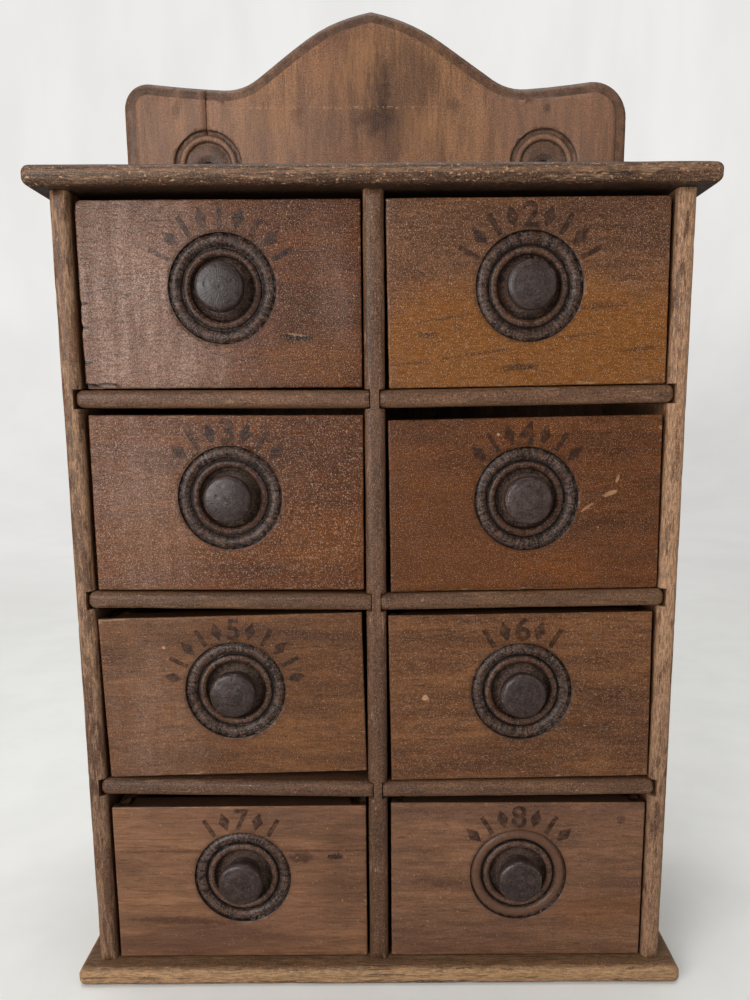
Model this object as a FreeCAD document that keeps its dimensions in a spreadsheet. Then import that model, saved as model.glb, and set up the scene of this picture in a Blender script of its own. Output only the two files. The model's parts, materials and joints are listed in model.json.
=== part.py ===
"""Hanging chest of eight small drawers, two across and four high.

The case is a nailed box: two sides and a centre partition with grooves (dados) for six short
shelves, a top board and a base board that stand proud all round, and one tall back board whose
shaped crest rises above the top. Each drawer is a nailed box with a turned rosette in its front
and a turned knob glued into the rosette.

Frame: X to the right seen from the front, Y towards the back, Z up. The origin is the middle of
the bounding box in X and Y, on the surface that the base board rests on. Sizes are millimetres.
"""
import FreeCAD, Part
import os
import re
import Sketcher

Vector = FreeCAD.Vector

# Driving sizes: alias, value, what it is.
CASE_SIZES = [
    ("case_width", 254.0, "across the outer faces of the two sides"),
    ("case_depth", 109.0, "front plane of the sides to the front of the back board"),
    ("opening_height", 77.0, "clear height of one drawer opening"),
    ("side_thick", 8.0, "side boards"),
    ("partition_thick", 8.6, "centre partition"),
    ("shelf_thick", 7.5, "shelves"),
    ("top_thick", 8.0, "top board"),
    ("base_thick", 8.3, "base board"),
    ("back_thick", 8.0, "back board"),
    ("overhang", 7.5, "top and base boards beyond the case, at the front and both ends"),
    ("side_dado", 3.0, "depth of the shelf grooves in the sides"),
    ("partition_dado", 2.4, "depth of the shelf grooves in the partition"),
    ("dado_room", 0.2, "a shelf's play in its groove, in height and at each end"),
    ("board_round", 3.2, "rounding of the top and base boards' front and end edges"),
    ("plan_round", 3.0, "rounding of those boards' front corners seen from above"),
    ("nose_round", 2.9, "rounding of the sides', partition's and shelves' front edges"),
    ("shelf_set_back", 0.4, "shelf front behind the case's front plane"),
    ("upper_left_rise", 0.6, "outer end of the shelf above its partition end"),
    ("upper_right_rise", 1.6, "the same"),
    ("middle_left_rise", 1.6, "the same"),
    ("middle_right_rise", 1.5, "the same"),
    ("lower_left_rise", 2.2, "the same"),
    ("lower_right_rise", 0.7, "the same"),
]
CREST_SIZES = [
    ("peak_shift", -2.0, "peak from the middle of the board"),
    ("brow_reach", 33.0, "lower end of the peak's arc, where the flank ends, from the middle"),
    ("flank_rise", 0.665385, "rise of the straight flank for each millimetre across"),
    ("peak_rise", 13.5, "peak above the lower ends of its arcs"),
    ("hollow_reach", 68.0, "start of the hollow from the board's edge"),
    ("hollow_height", 70.6, "start of the hollow above the top board"),
    ("dip_reach", 51.0, "lowest point of the hollow from the board's edge"),
    ("dip_height", 66.0, "lowest point of the hollow above the top board"),
    ("shoulder_height", 69.2, "top of the corner rounding above the top board"),
    ("left_corner_reach", 13.4, "left corner rounding, across"),
    ("left_corner_drop", 12.2, "left corner rounding, down"),
    ("right_corner_reach", 18.6, "right corner rounding, across"),
    ("right_corner_drop", 17.4, "right corner rounding, down"),
    ("mould_width", 6.5, "moulded border of the crest"),
    ("mould_step", 0.9, "the border's step below the flat face"),
    ("mould_round", 4.6, "rounding of the border's outer edge"),
    ("hanger_spacing", 170.0, "between the two hanging holes"),
    ("hanger_height", 29.0, "hanging holes above the top board"),
    ("hanger_hole", 5.0, "diameter of the hanging holes"),
    ("hanger_ring", 34.4, "outer diameter of the turned rings round them"),
    ("crack_width", 0.5, "drying crack above the left hanging hole"),
    ("crack_depth", 2.2, "its depth"),
]
DRAWER_SIZES = [
    ("drawer_gap", 1.1, "half of the drawers' play across the opening"),
    ("drawer_rest", 0.3, "lower edge above what it runs on"),
    ("front_set_back", 2.0, "drawer face behind the case's front plane"),
    ("drawer_back_gap", 3.0, "drawer's back edge to the back board"),
    ("front_thick", 10.0, "drawer front"),
    ("front_round", 0.8, "eased edges of the drawer front"),
    ("front_tongue", 6.0, "how far the drawer sides lap the front's ends"),
    ("box_side_thick", 6.0, "drawer side"),
    ("box_side_inset", 0.3, "drawer side in from the front's end"),
    ("box_side_drop", 2.5, "top of the drawer side below the lower top corner of the front"),
    ("box_back_thick", 6.0, "drawer back"),
    ("box_bottom_thick", 3.0, "drawer bottom"),
    ("box_bottom_rise", 3.0, "drawer bottom above the drawer's lower edge"),
    ("box_groove", 2.5, "depth of the grooves that hold the drawer bottom"),
    ("groove_room", 0.15, "the bottom's play in those grooves"),
    ("rosette_rise", 2.5, "rosette above the middle of the front"),
    ("rosette_shift", 0.6, "rosette to the right of the middle of the front"),
    ("chip_width", 8.2, "broken corner of the first drawer front"),
    ("chip_height", 2.3, "the same, upwards"),
    ("chip_middle", 1.84, "height of the broken edge halfway along"),
    ("chip_depth", 3.2, "the same corner, into the wood"),
]
# One row for each drawer, left to right and from the top: headroom above its left end, how much
# lower its right end is cut, room at its left, and its lean beyond the shelf's own slope in degrees.
DRAWER_ROWS = [
    (4.1, 0.0, 1.6, 0.3),
    (3.4, 1.1, 0.4, 0.0),
    (3.8, 0.0, 1.5, 0.5),
    (5.0, -0.4, 0.9, 0.0),
    (5.4, 0.1, 0.35, 2.3),
    (2.4, 0.5, 0.5, 0.55),
    (4.2, -0.3, 1.3, 0.0),
    (2.7, 0.4, 1.3, 0.0),
]
TURNING_SIZES = [
    ("rosette_rim", 21.5, "radius of the rosette's outer edge"),
    ("rim_foot", 21.0, "radius at the foot of the rim's cut"),
    ("rim_depth", 1.3, "its depth"),
    ("outer_bead", 18.7, "radius of the outer bead's crown"),
    ("outer_bead_depth", 0.1, "crown below the face"),
    ("quirk_outer", 16.4, "narrow groove between the beads, outer radius"),
    ("quirk_inner", 15.8, "the same, inner radius"),
    ("quirk_depth", 1.8, "its depth"),
    ("inner_bead", 14.2, "radius of the inner bead's crown"),
    ("inner_bead_depth", 0.5, "crown below the face"),
    ("dish_rim", 12.6, "radius of the dish"),
    ("dish_wall", 11.3, "radius halfway down the dish's wall"),
    ("dish_wall_depth", 3.7, "its depth"),
    ("dish_floor", 9.0, "radius of the dish's flat floor"),
    ("dish_depth", 4.5, "depth of the dish"),
    ("tenon_radius", 4.5, "hole for the knob's tenon"),
    ("tenon_room", 0.05, "radial play of the tenon"),
    ("tenon_short", 0.3, "tenon's end short of the front's inner face"),
    ("knob_radius", 9.8, "knob's head"),
    ("knob_proud", 8.0, "knob's face in front of the drawer's face"),
    ("knob_face", 8.0, "radius of the slightly domed face"),
    ("knob_dome", 0.8, "height of that dome"),
    ("knob_edge", 2.0, "rounding from the face to the side of the head"),
    ("knob_side", 1.8, "straight side of the head"),
    ("knob_under", 0.9, "rounding under the head"),
    ("neck_radius", 6.2, "knob's neck"),
    ("neck_flare", 7.4, "radius of the neck's foot"),
    ("flare_height", 2.0, "middle of the flare above the dish's floor"),
    ("flare_radius", 6.3, "radius at the middle of the flare"),
    ("neck_curve", 1.0, "height of the curve from the neck into the head"),
    ("ring_floor", 15.0, "hanging ring: inner radius of its outer flat"),
    ("ring_floor_depth", 1.3, "its depth"),
    ("ring_crown_depth", 0.2, "crown of the ring's bead below the face"),
    ("ring_quirk", 11.4, "radius of the groove inside the bead"),
    ("ring_quirk_depth", 1.7, "its depth"),
    ("ring_boss_depth", 0.8, "crown of the boss round the hole"),
]
NAIL_SIZES = [
    ("nail_head", 2.8, "diameter of a nail's head"),
    ("head_thick", 0.6, "thickness of the head"),
    ("nail_shank", 1.3, "diameter of the shank"),
    ("nail_length", 15.0, "under the head"),
    ("nail_point", 2.6, "length of the tapered point"),
    ("nail_tip", 0.3, "diameter at the tip"),
    ("pit_depth", 0.8, "how deep the heads are set"),
    ("pit_room", 0.15, "play round the head"),
    ("nail_margin", 14.0, "nail from the end of a board"),
    ("row_pitch", 36.0, "between nails along a board"),
]
DRAWER_COUNT = len(DRAWER_ROWS)
SHELF_ROWS = ["upper", "middle", "lower"]
ROWS = len(SHELF_ROWS) + 1
TOLERANCE = 0.01

# Sizes that follow from the driving ones, as expressions on the sheet.
ROW_PITCH = "(opening_height + shelf_thick)"
INNER_HEIGHT = f"({ROWS} * opening_height + {len(SHELF_ROWS)} * shelf_thick)"
OPENING_WIDTH = "((case_width - 2 * side_thick - partition_thick) / 2)"
FULL_DEPTH = "(overhang + case_depth + back_thick)"
CASE_FRONT = f"(overhang - {FULL_DEPTH} / 2)"
CREST_FOOT = f"({INNER_HEIGHT} + top_thick)"
FLANK_RUN = "(case_width / 2 - hollow_reach - brow_reach)"
BROW_HEIGHT = f"(hollow_height + flank_rise * {FLANK_RUN})"
CREST_RISE = f"({BROW_HEIGHT} + peak_rise)"
HANGER_LEVEL = f"({CREST_FOOT} + hanger_height)"
SHELF_LENGTH = f"({OPENING_WIDTH} + side_dado + partition_dado - 2 * dado_room)"
FRONT_WIDTH = f"({OPENING_WIDTH} - 2 * drawer_gap)"
DRAWER_LENGTH = "(case_depth - front_set_back - drawer_back_gap)"
BOX_WALL = "(box_side_inset + box_side_thick)"
BOX_FLOOR = "(box_bottom_rise + box_bottom_thick + groove_room)"
KNOB_X = f"({FRONT_WIDTH} / 2 + rosette_shift)"
BEYOND = "2"  # how far a cutting outline reaches past the wood
ROUND_SHARE = "0.45"  # most of a board's thickness that one rounded edge may take
MOULD_SHARE = "0.9"  # most of the crest's edge that its border's rounding may take
# The middle of a quarter arc, as shares of its radius from its two ends' tangents.
ARC_NEAR, ARC_FAR = "0.3", "0.7"

doc = FreeCAD.newDocument("SpiceChest")
sheet = doc.addObject("Spreadsheet::Sheet", "Sizes")
aliases = set()
subparts = []


def fill_sheet():
    """Write every driving size into the sheet: name, value and note, with the name as alias."""
    rows = CASE_SIZES + CREST_SIZES + DRAWER_SIZES + TURNING_SIZES + NAIL_SIZES
    for number, (headroom, fall, room, lean) in enumerate(DRAWER_ROWS, start=1):
        rows.append((f"headroom_{number}", headroom, "opening above the front's left end"))
        rows.append((f"fall_{number}", fall, "right end of the front lower than the left"))
        rows.append((f"room_{number}", room, "play at the drawer's left"))
        rows.append((f"lean_{number}", lean, "degrees beyond the slope of what it runs on"))
    for line, (alias, number, note) in enumerate(rows, start=1):
        sheet.set(f"A{line}", alias)
        sheet.set(f"B{line}", str(number))
        sheet.set(f"C{line}", note)
        sheet.setAlias(f"B{line}", alias)
        aliases.add(alias)
    doc.recompute()


def on_sheet(text):
    """The same expression with every alias written as a cell of the sheet."""
    def cell(match):
        word = match.group()
        return f"Sizes.{word}" if word in aliases else word
    return re.sub(r"[a-z][a-z0-9_]*", cell, text)


def value(text):
    """The number that an expression stands for now."""
    result = sheet.evalExpression(on_sheet(text))
    return float(getattr(result, "Value", result))


def bind(thing, **expressions):
    """Bind properties to expressions; a double underscore stands for a dot in the property."""
    for name, text in expressions.items():
        thing.setExpression(name.replace("__", "."), on_sheet(text))


def hand_in(thing, label):
    """Name a finished sub-part, which is written out under that name."""
    thing.Label = label
    subparts.append(thing)
    return thing


def new_body(name):
    return doc.addObject("PartDesign::Body", name)


def body_sketch(body, name, role, lift="0"):
    """Sketch on one of the body's own base planes, lifted along the plane's normal."""
    sketch = body.newObject("Sketcher::SketchObject", f"{body.Name}_{name}")
    base_plane = next(item for item in body.Origin.OriginFeatures if item.Role == role)
    sketch.AttachmentSupport = (base_plane, [""])
    sketch.MapMode = "FlatFace"
    if lift != "0":
        bind(sketch, AttachmentOffset__Base__z=lift)
    return sketch


def pin_point(sketch, edge, end, x, y):
    """Hold a point of the sketch at the expressions x and y."""
    for text, axis, kind in ((x, -2, "DistanceX"), (y, -1, "DistanceY")):
        if text == "0":
            sketch.addConstraint(Sketcher.Constraint("PointOnObject", edge, end, axis))
            continue
        index = sketch.addConstraint(Sketcher.Constraint(kind, -1, 1, edge, end, value(text)))
        sketch.setExpression(f"Constraints[{index}]", on_sheet(text))


def add_edge(sketch, start, end, bend):
    """Add a line, or an arc that bulges to the right of its direction; return it and its ends."""
    if bend is None:
        return sketch.addGeometry(Part.LineSegment(start, end), False), 1, 2
    if bend[0] == "crown":
        middle = Vector(value(bend[1]), value(bend[2]), 0)
    else:
        along = (end - start).normalize()
        middle = (start + end) / 2 + Vector(along.y, -along.x, 0) * bend[1]
    turn = (middle - start).cross(end - middle).z
    if turn > 0:
        return sketch.addGeometry(Part.Arc(start, middle, end), False), 1, 2
    return sketch.addGeometry(Part.Arc(end, middle, start), False), 2, 1


def draw_outline(sketch, corners):
    """Draw a closed outline through the corners, each (x, y) or (x, y, bend).

    A bend makes an arc of the edge that leaves the corner: ("crown", x, y) takes it through a
    point, ("follows", bow) makes it tangent to the edge before and ("leads", bow) to the one after;
    the bow is only the height the solver starts from.
    """
    points = [Vector(value(corner[0]), value(corner[1]), 0) for corner in corners]
    bends = [corner[2] if len(corner) > 2 else None for corner in corners]
    edges = []
    for index, bend in enumerate(bends):
        edges.append(add_edge(sketch, points[index], points[(index + 1) % len(points)], bend))
    for index, corner in enumerate(corners):
        edge, start, _ = edges[index]
        before, _, end = edges[index - 1]
        smooth = (bends[index] or " ")[0] == "follows" or (bends[index - 1] or " ")[0] == "leads"
        kind = "Tangent" if smooth else "Coincident"
        sketch.addConstraint(Sketcher.Constraint(kind, before, end, edge, start))
        pin_point(sketch, edge, start, corner[0], corner[1])
    for index, bend in enumerate(bends):
        if bend and bend[0] == "crown":
            crown = sketch.addGeometry(Part.Point(Vector(value(bend[1]), value(bend[2]), 0)), True)
            pin_point(sketch, crown, 1, bend[1], bend[2])
            sketch.addConstraint(Sketcher.Constraint("PointOnObject", crown, 1, edges[index][0]))


def draw_rectangle(sketch, x_low, x_high, y_low, y_high):
    draw_outline(sketch, [(x_low, y_low), (x_high, y_low), (x_high, y_high), (x_low, y_high)])


def draw_axis(sketch, x, y_low, y_high):
    """Construction line along which a turning is revolved; drawn before the profile."""
    start, end = Vector(value(x), value(y_low), 0), Vector(value(x), value(y_high), 0)
    line = sketch.addGeometry(Part.LineSegment(start, end), True)
    pin_point(sketch, line, 1, x, y_low)
    pin_point(sketch, line, 2, x, y_high)


def draw_circles(sketch, centres, radius):
    for x, y in centres:
        circle = Part.Circle(Vector(value(x), value(y), 0), Vector(0, 0, 1), value(radius))
        edge = sketch.addGeometry(circle, False)
        pin_point(sketch, edge, 3, x, y)
        index = sketch.addConstraint(Sketcher.Constraint("Radius", edge, value(radius)))
        sketch.setExpression(f"Constraints[{index}]", on_sheet(radius))


def pad(body, sketch, length, flip=False):
    feature = body.newObject("PartDesign::Pad", f"{sketch.Name}_pad")
    feature.Profile = sketch
    feature.Reversed = flip
    bind(feature, Length=length)
    return feature


def pocket(body, sketch, depth=None, flip=False):
    """Cut the sketch into the body, to a depth or right through."""
    feature = body.newObject("PartDesign::Pocket", f"{sketch.Name}_cut")
    feature.Profile = sketch
    feature.Reversed = flip
    if depth is None:
        feature.Type = "ThroughAll"
    else:
        bind(feature, Length=depth)
    return feature


def turn(body, kind, sketch):
    """Revolve the sketch about its own axis line, adding or cutting."""
    feature = body.newObject(f"PartDesign::{kind}", f"{sketch.Name}_turned")
    feature.Profile = sketch
    feature.ReferenceAxis = (sketch, ["Axis0"])
    return feature


def edge_names(feature, wanted):
    """Names of the feature's edges whose bounding box meets the condition."""
    doc.recompute()
    return [f"Edge{index}" for index, edge in enumerate(feature.Shape.Edges, start=1)
            if wanted(edge.BoundBox)]


def round_edges(body, feature, radius, wanted):
    fillet = body.newObject("PartDesign::Fillet", f"{feature.Name}_eased")
    fillet.Base = (feature, edge_names(feature, wanted))
    bind(fillet, Radius=radius)
    return fillet


def near(first, second):
    return abs(first - second) < TOLERANCE


def nail_pits(body, name, role, lift, centres, flip=False):
    """Shallow round pits in which nail heads are set."""
    sketch = body_sketch(body, name, role, lift)
    draw_circles(sketch, centres, "(nail_head / 2 + pit_room)")
    return pocket(body, sketch, "pit_depth", flip)


def nail_shape():
    """One nail along +Z; z = 0 is the surface of the board, above the sunk head."""
    head_top = value("pit_depth - head_thick")
    shank, point = value("nail_shank / 2"), value("nail_point")
    seat = Vector(0, 0, value("pit_depth"))
    tip = Vector(0, 0, value("pit_depth + nail_length") - point)
    head = Part.makeCylinder(value("nail_head") / 2, value("head_thick"), Vector(0, 0, head_top))
    stem = Part.makeCylinder(shank, tip.z - seat.z, seat)
    taper = Part.makeCone(shank, value("nail_tip / 2"), point, tip)
    return head.fuse([stem, taper]).removeSplitter()


def nail_group(label, places, placement=None):
    """One node that holds a nail at each (point, direction)."""
    nail = nail_shape()
    nails = []
    for point, direction in places:
        one = nail.copy()
        one.Placement = FreeCAD.Placement(point, FreeCAD.Rotation(Vector(0, 0, 1), direction))
        nails.append(one)
    group = doc.addObject("Part::Feature", label)
    group.Shape = Part.makeCompound(nails)
    if placement:
        group.Placement = placement
    hand_in(group, label)


def shelf_level(row):
    """Top of a shelf row at the partition, above the base board; row 0 is the upper one."""
    return f"({len(SHELF_ROWS) - row} * {ROW_PITCH})"


def upright(label, thickness, dados, left):
    """Side or partition: a board on edge with grooves for the shelves and a rounded front edge.

    dados lists (x_low, x_high, row, rise) for each groove.
    """
    body = new_body(label)
    plan = body_sketch(body, "plan", "XY_Plane")
    draw_rectangle(plan, "0", thickness, "0", "case_depth")
    board = pad(body, plan, INNER_HEIGHT)
    height = value(INNER_HEIGHT)
    round_edges(body, board, f"min(nose_round; {ROUND_SHARE} * {thickness})",
                lambda box: near(box.YMax, 0) and near(box.ZLength, height))
    grooves = body_sketch(body, "dados", "XZ_Plane")
    for x_low, x_high, row, rise in dados:
        top = f"({shelf_level(row)} + {rise} + dado_room / 2)"
        draw_rectangle(grooves, x_low, x_high, f"({top} - shelf_thick - dado_room)", top)
    pocket(body, grooves)
    bind(body, Placement__Base__x=left, Placement__Base__y=CASE_FRONT, Placement__Base__z="base_thick")
    return hand_in(body, label)


def side_nail_centres(hand):
    """Nails through a side into its shelves: (distance from the front, height) for each."""
    centres = []
    for row, name in enumerate(SHELF_ROWS):
        level = f"({shelf_level(row)} + {name}_{hand}_rise - shelf_thick / 2)"
        centres += [("nail_margin", level), ("(case_depth - nail_margin)", level)]
    return centres


def build_uprights():
    """Both sides and the centre partition, and the nails that hold the shelves."""
    left_dados = [("(side_thick - side_dado)", f"(side_thick + {BEYOND})", row, f"{name}_left_rise")
                  for row, name in enumerate(SHELF_ROWS)]
    left = upright("left_side", "side_thick", left_dados, "-case_width / 2")
    right_dados = [(f"-{BEYOND}", "side_dado", row, f"{name}_right_rise")
                   for row, name in enumerate(SHELF_ROWS)]
    right = upright("right_side", "side_thick", right_dados, "case_width / 2 - side_thick")
    middle_dados = []
    for row in range(len(SHELF_ROWS)):
        middle_dados.append((f"-{BEYOND}", "partition_dado", row, "0"))
        middle_dados.append(("(partition_thick - partition_dado)", f"(partition_thick + {BEYOND})",
                             row, "0"))
    upright("centre_partition", "partition_thick", middle_dados, "-partition_thick / 2")
    nail_pits(left, "pits", "YZ_Plane", "0", side_nail_centres("left"), flip=True)
    nail_pits(right, "pits", "YZ_Plane", "side_thick", side_nail_centres("right"))
    doc.recompute()
    places = []
    for board, hand, outer, inward in ((left, "left", "0", 1), (right, "right", "side_thick", -1)):
        for y, z in side_nail_centres(hand):
            point = Vector(value(outer), value(y), value(z))
            places.append((board.Placement.multVec(point), Vector(inward, 0, 0)))
    nail_group("shelf_nails", places)


def shelf(row, hand):
    """One short shelf, drawn from its partition end outwards and tipped up by its rise."""
    outward = 1 if hand == "right" else -1
    name = SHELF_ROWS[row]
    body = new_body(f"{name}_{hand}_shelf")
    plan = body_sketch(body, "plan", "XY_Plane")
    outer = f"({outward} * {SHELF_LENGTH})"
    draw_rectangle(plan, "0", outer, "0", "(case_depth - shelf_set_back)")
    board = pad(body, plan, "shelf_thick")
    far = value(outer)
    bullet = round_edges(body, board, "nose_round", lambda box: near(box.YMax, 0) and near(box.XMin, far)
                         and near(box.XMax, far))
    round_edges(body, bullet, f"min(nose_round; {ROUND_SHARE} * shelf_thick)",
                lambda box: near(box.YMax, 0) and near(box.ZLength, 0))
    body.Placement.Rotation = FreeCAD.Rotation(Vector(0, -outward, 0), 1)
    bind(body, Placement__Base__x=f"{outward} * (partition_thick / 2 - partition_dado + dado_room)",
         Placement__Base__y=f"{CASE_FRONT} + shelf_set_back",
         Placement__Base__z=f"base_thick + {shelf_level(row)} - shelf_thick",
         Placement__Rotation__Angle=f"atan({name}_{hand}_rise / {SHELF_LENGTH})")
    return body


def build_shelves():
    for row, name in enumerate(SHELF_ROWS):
        pair = doc.addObject("Part::Compound", f"{name}_shelves")
        pair.Links = [shelf(row, "left"), shelf(row, "right")]
        hand_in(pair, f"{name}_shelves")


def upright_nail_centres():
    """Nails through the top or base board into the two sides and the partition."""
    side_line = "(case_width / 2 - side_thick / 2)"
    return [(x, y) for x in (f"-{side_line}", "0", side_line)
            for y in ("nail_margin", "(case_depth / 2)", "(case_depth - nail_margin)")]


def flat_board(label, thickness, back_edge, level):
    """Top or base board: stands proud of the case at the front and both ends, edges rounded."""
    body = new_body(label)
    half = "(case_width / 2 + overhang)"
    plan = body_sketch(body, "plan", "XY_Plane")
    draw_rectangle(plan, f"-{half}", half, "-overhang", back_edge)
    board = pad(body, plan, thickness)
    front, rear, thick = value("-overhang"), value(back_edge), value(thickness)
    corners = round_edges(body, board, "plan_round",
                          lambda box: near(box.YMax, front) and near(box.ZLength, thick))
    round_edges(body, corners, f"min(board_round; {ROUND_SHARE} * {thickness})",
                lambda box: near(box.ZLength, 0) and not near(box.YMin, rear))
    bind(body, Placement__Base__y=CASE_FRONT, Placement__Base__z=level)
    return hand_in(body, label)


def build_flat_boards():
    """Top board, base board, and the nails through both."""
    top = flat_board("top_board", "top_thick", "case_depth", f"base_thick + {INNER_HEIGHT}")
    base = flat_board("base_board", "base_thick", "(case_depth + back_thick)", "0")
    back_line = "(case_depth + back_thick / 2)"
    base_centres = upright_nail_centres() + [("-row_pitch", back_line), ("row_pitch", back_line)]
    nail_pits(top, "pits", "XY_Plane", "top_thick", upright_nail_centres())
    # A sketch on the underside looks up, so the pits are cut upwards from it.
    nail_pits(base, "pits", "XY_Plane", "0", base_centres, flip=True)
    doc.recompute()
    places = []
    for board, centres, surface, inward in ((top, upright_nail_centres(), "top_thick", -1),
                                            (base, base_centres, "0", 1)):
        for x, y in centres:
            point = Vector(value(x), value(y), value(surface))
            places.append((board.Placement.multVec(point), Vector(0, 0, inward)))
    nail_group("board_nails", places)


def crest_corners():
    """Outline of the back board from its foot round the shaped crest, counter-clockwise."""
    half = "(case_width / 2)"

    def level(name):
        return f"({CREST_FOOT} + {name})"
    right_drop = f"({CREST_FOOT} + shoulder_height - right_corner_drop)"
    left_drop = f"({CREST_FOOT} + shoulder_height - left_corner_drop)"
    return [
        (f"-{half}", "0"),
        (half, "0"),
        (half, right_drop, ("follows", 4)),
        (f"({half} - right_corner_reach)", level("shoulder_height"), ("leads", -1)),
        (f"({half} - dip_reach)", level("dip_height"), ("leads", -2)),
        (f"({half} - hollow_reach)", level("hollow_height")),
        ("brow_reach", level(BROW_HEIGHT), ("follows", 3)),
        ("peak_shift", level(CREST_RISE), ("leads", 3)),
        ("-brow_reach", level(BROW_HEIGHT)),
        (f"-({half} - hollow_reach)", level("hollow_height"), ("follows", -2)),
        (f"-({half} - dip_reach)", level("dip_height"), ("follows", -1)),
        (f"-({half} - left_corner_reach)", level("shoulder_height"), ("leads", 4)),
        (f"-{half}", left_drop),
    ]


def ring_corners():
    """Half section of the turned rings and the hole that a hanging hook goes into."""
    centre = "(hanger_spacing / 2)"

    def out(radius):
        return f"({centre} + {radius})"
    hole = "hanger_hole / 2"
    return [
        (centre, f"-{BEYOND}"),
        (out("hanger_ring / 2"), f"-{BEYOND}"),
        (out("hanger_ring / 2"), "ring_floor_depth"),
        (out("ring_floor"), "ring_floor_depth",
         ("crown", out("(ring_floor + ring_quirk) / 2"), "ring_crown_depth")),
        (out("ring_quirk"), "ring_quirk_depth",
         ("crown", out(f"(ring_quirk + {hole}) / 2"), "ring_boss_depth")),
        (out(hole), "ring_quirk_depth"),
        (out(hole), f"(back_thick + {BEYOND})"),
        (centre, f"(back_thick + {BEYOND})"),
    ]


def extrusion(name, base, forward, backward="0"):
    """Extrude an upright outline towards the back, and a little to the front if asked."""
    solid = doc.addObject("Part::Extrusion", name)
    solid.Base = base
    solid.DirMode = "Custom"
    solid.Dir = Vector(0, 1, 0)
    solid.Solid = True
    bind(solid, LengthFwd=forward, LengthRev=backward)
    return solid


def boolean(kind, name, base, tool):
    result = doc.addObject(f"Part::{kind}", name)
    result.Base = base
    result.Tool = tool
    return result


def back_nail_centres():
    """Nails through the back board: (x, height above its foot) for each."""
    side_line = "(case_width / 2 - side_thick / 2)"
    centres = []
    for row in range(ROWS):
        middle = f"({row} * {ROW_PITCH} + opening_height / 2)"
        centres += [(f"-{side_line}", middle), (side_line, middle)]
        if row % 2:
            centres.append(("0", middle))
    top_line = f"({INNER_HEIGHT} + top_thick / 2)"
    for row in range(len(SHELF_ROWS)):
        shelf_line = f"({shelf_level(row)} - shelf_thick / 2)"
        centres += [("-row_pitch", shelf_line), ("row_pitch", shelf_line)]
    return centres + [("-row_pitch", top_line), ("row_pitch", top_line)]


def build_back_board():
    """Back board with its shaped and moulded crest, hanging rings, and the nails through it."""
    upright_plane = FreeCAD.Rotation(Vector(1, 0, 0), 90)
    outline = doc.addObject("Sketcher::SketchObject", "back_outline")
    outline.Placement = FreeCAD.Placement(Vector(0, 0, 0), upright_plane)
    draw_outline(outline, crest_corners())
    plank = extrusion("back_plank", outline, "back_thick")
    field_outline = doc.addObject("Part::Offset2D", "crest_field_outline")
    field_outline.Source = outline
    field_outline.Join = "Intersection"
    bind(field_outline, Value="-mould_width")
    rim = boolean("Cut", "crest_rim", extrusion("crest_slab", outline, "mould_step", BEYOND),
                  extrusion("crest_field", field_outline, f"mould_step + {BEYOND}", f"2 * {BEYOND}"))
    above_top = doc.addObject("Part::Box", "above_top_board")
    bind(above_top, Length=f"case_width + 2 * {BEYOND}", Width=f"back_thick + 2 * {BEYOND}",
         Height=f"{CREST_RISE} + {BEYOND}", Placement__Base__x=f"-case_width / 2 - {BEYOND}",
         Placement__Base__y=f"-2 * {BEYOND}", Placement__Base__z=CREST_FOOT)
    moulded = boolean("Cut", "back_moulded", plank, boolean("Common", "crest_border", rim, above_top))
    step, foot = value("mould_step"), value(CREST_FOOT)
    eased = doc.addObject("Part::Fillet", "back_eased")
    eased.Base = moulded
    doc.recompute()
    rounding = value(f"min(mould_round; {MOULD_SHARE} * (back_thick - mould_step))")
    rim_edges = []
    for index, edge in enumerate(moulded.Shape.Edges, start=1):
        box = edge.BoundBox
        middle = edge.valueAt((edge.FirstParameter + edge.LastParameter) / 2)
        on_outline = any(other.distToShape(Part.Vertex(middle.x, 0, middle.z))[0] < TOLERANCE
                         for other in outline.Shape.Edges)
        if near(box.YMin, step) and near(box.YMax, step) and box.ZMax > foot + TOLERANCE and on_outline:
            rim_edges.append((index, rounding, rounding))
    eased.Edges = rim_edges
    rings = doc.addObject("Sketcher::SketchObject", "hanging_ring_section")
    bind(rings, Placement__Base__z=HANGER_LEVEL)
    draw_outline(rings, ring_corners())
    right_ring = doc.addObject("Part::Revolution", "right_hanging_ring")
    right_ring.Source = rings
    right_ring.Axis = Vector(0, 1, 0)
    right_ring.Solid = True
    bind(right_ring, Base__x="hanger_spacing / 2", Base__z=HANGER_LEVEL)
    left_ring = doc.addObject("Part::Mirroring", "left_hanging_ring")
    left_ring.Source = right_ring
    left_ring.Normal = Vector(1, 0, 0)
    crack = doc.addObject("Part::Box", "drying_crack")
    bind(crack, Length="crack_width", Width=f"crack_depth + {BEYOND}",
         Height=f"{CREST_RISE} - hanger_height", Placement__Base__x="-(hanger_spacing + crack_width) / 2",
         Placement__Base__y=f"-{BEYOND}", Placement__Base__z=f"{HANGER_LEVEL} + ring_floor")
    pits = doc.addObject("Sketcher::SketchObject", "back_pits")
    pits.Placement = FreeCAD.Placement(Vector(0, 0, 0), upright_plane)
    bind(pits, Placement__Base__y="back_thick")
    draw_circles(pits, back_nail_centres(), "(nail_head / 2 + pit_room)")
    cutters = doc.addObject("Part::MultiFuse", "back_cutters")
    cutters.Shapes = [right_ring, left_ring, crack, extrusion("back_pit_cutters", pits, BEYOND, "pit_depth")]
    board = boolean("Cut", "back_board", eased, cutters)
    bind(board, Placement__Base__y=f"{CASE_FRONT} + case_depth", Placement__Base__z="base_thick")
    doc.recompute()
    hand_in(board, "back_board")
    places = [(board.Placement.multVec(Vector(value(x), value("back_thick"), value(z))), Vector(0, -1, 0))
              for x, z in back_nail_centres()]
    nail_group("back_nails", places)


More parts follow.
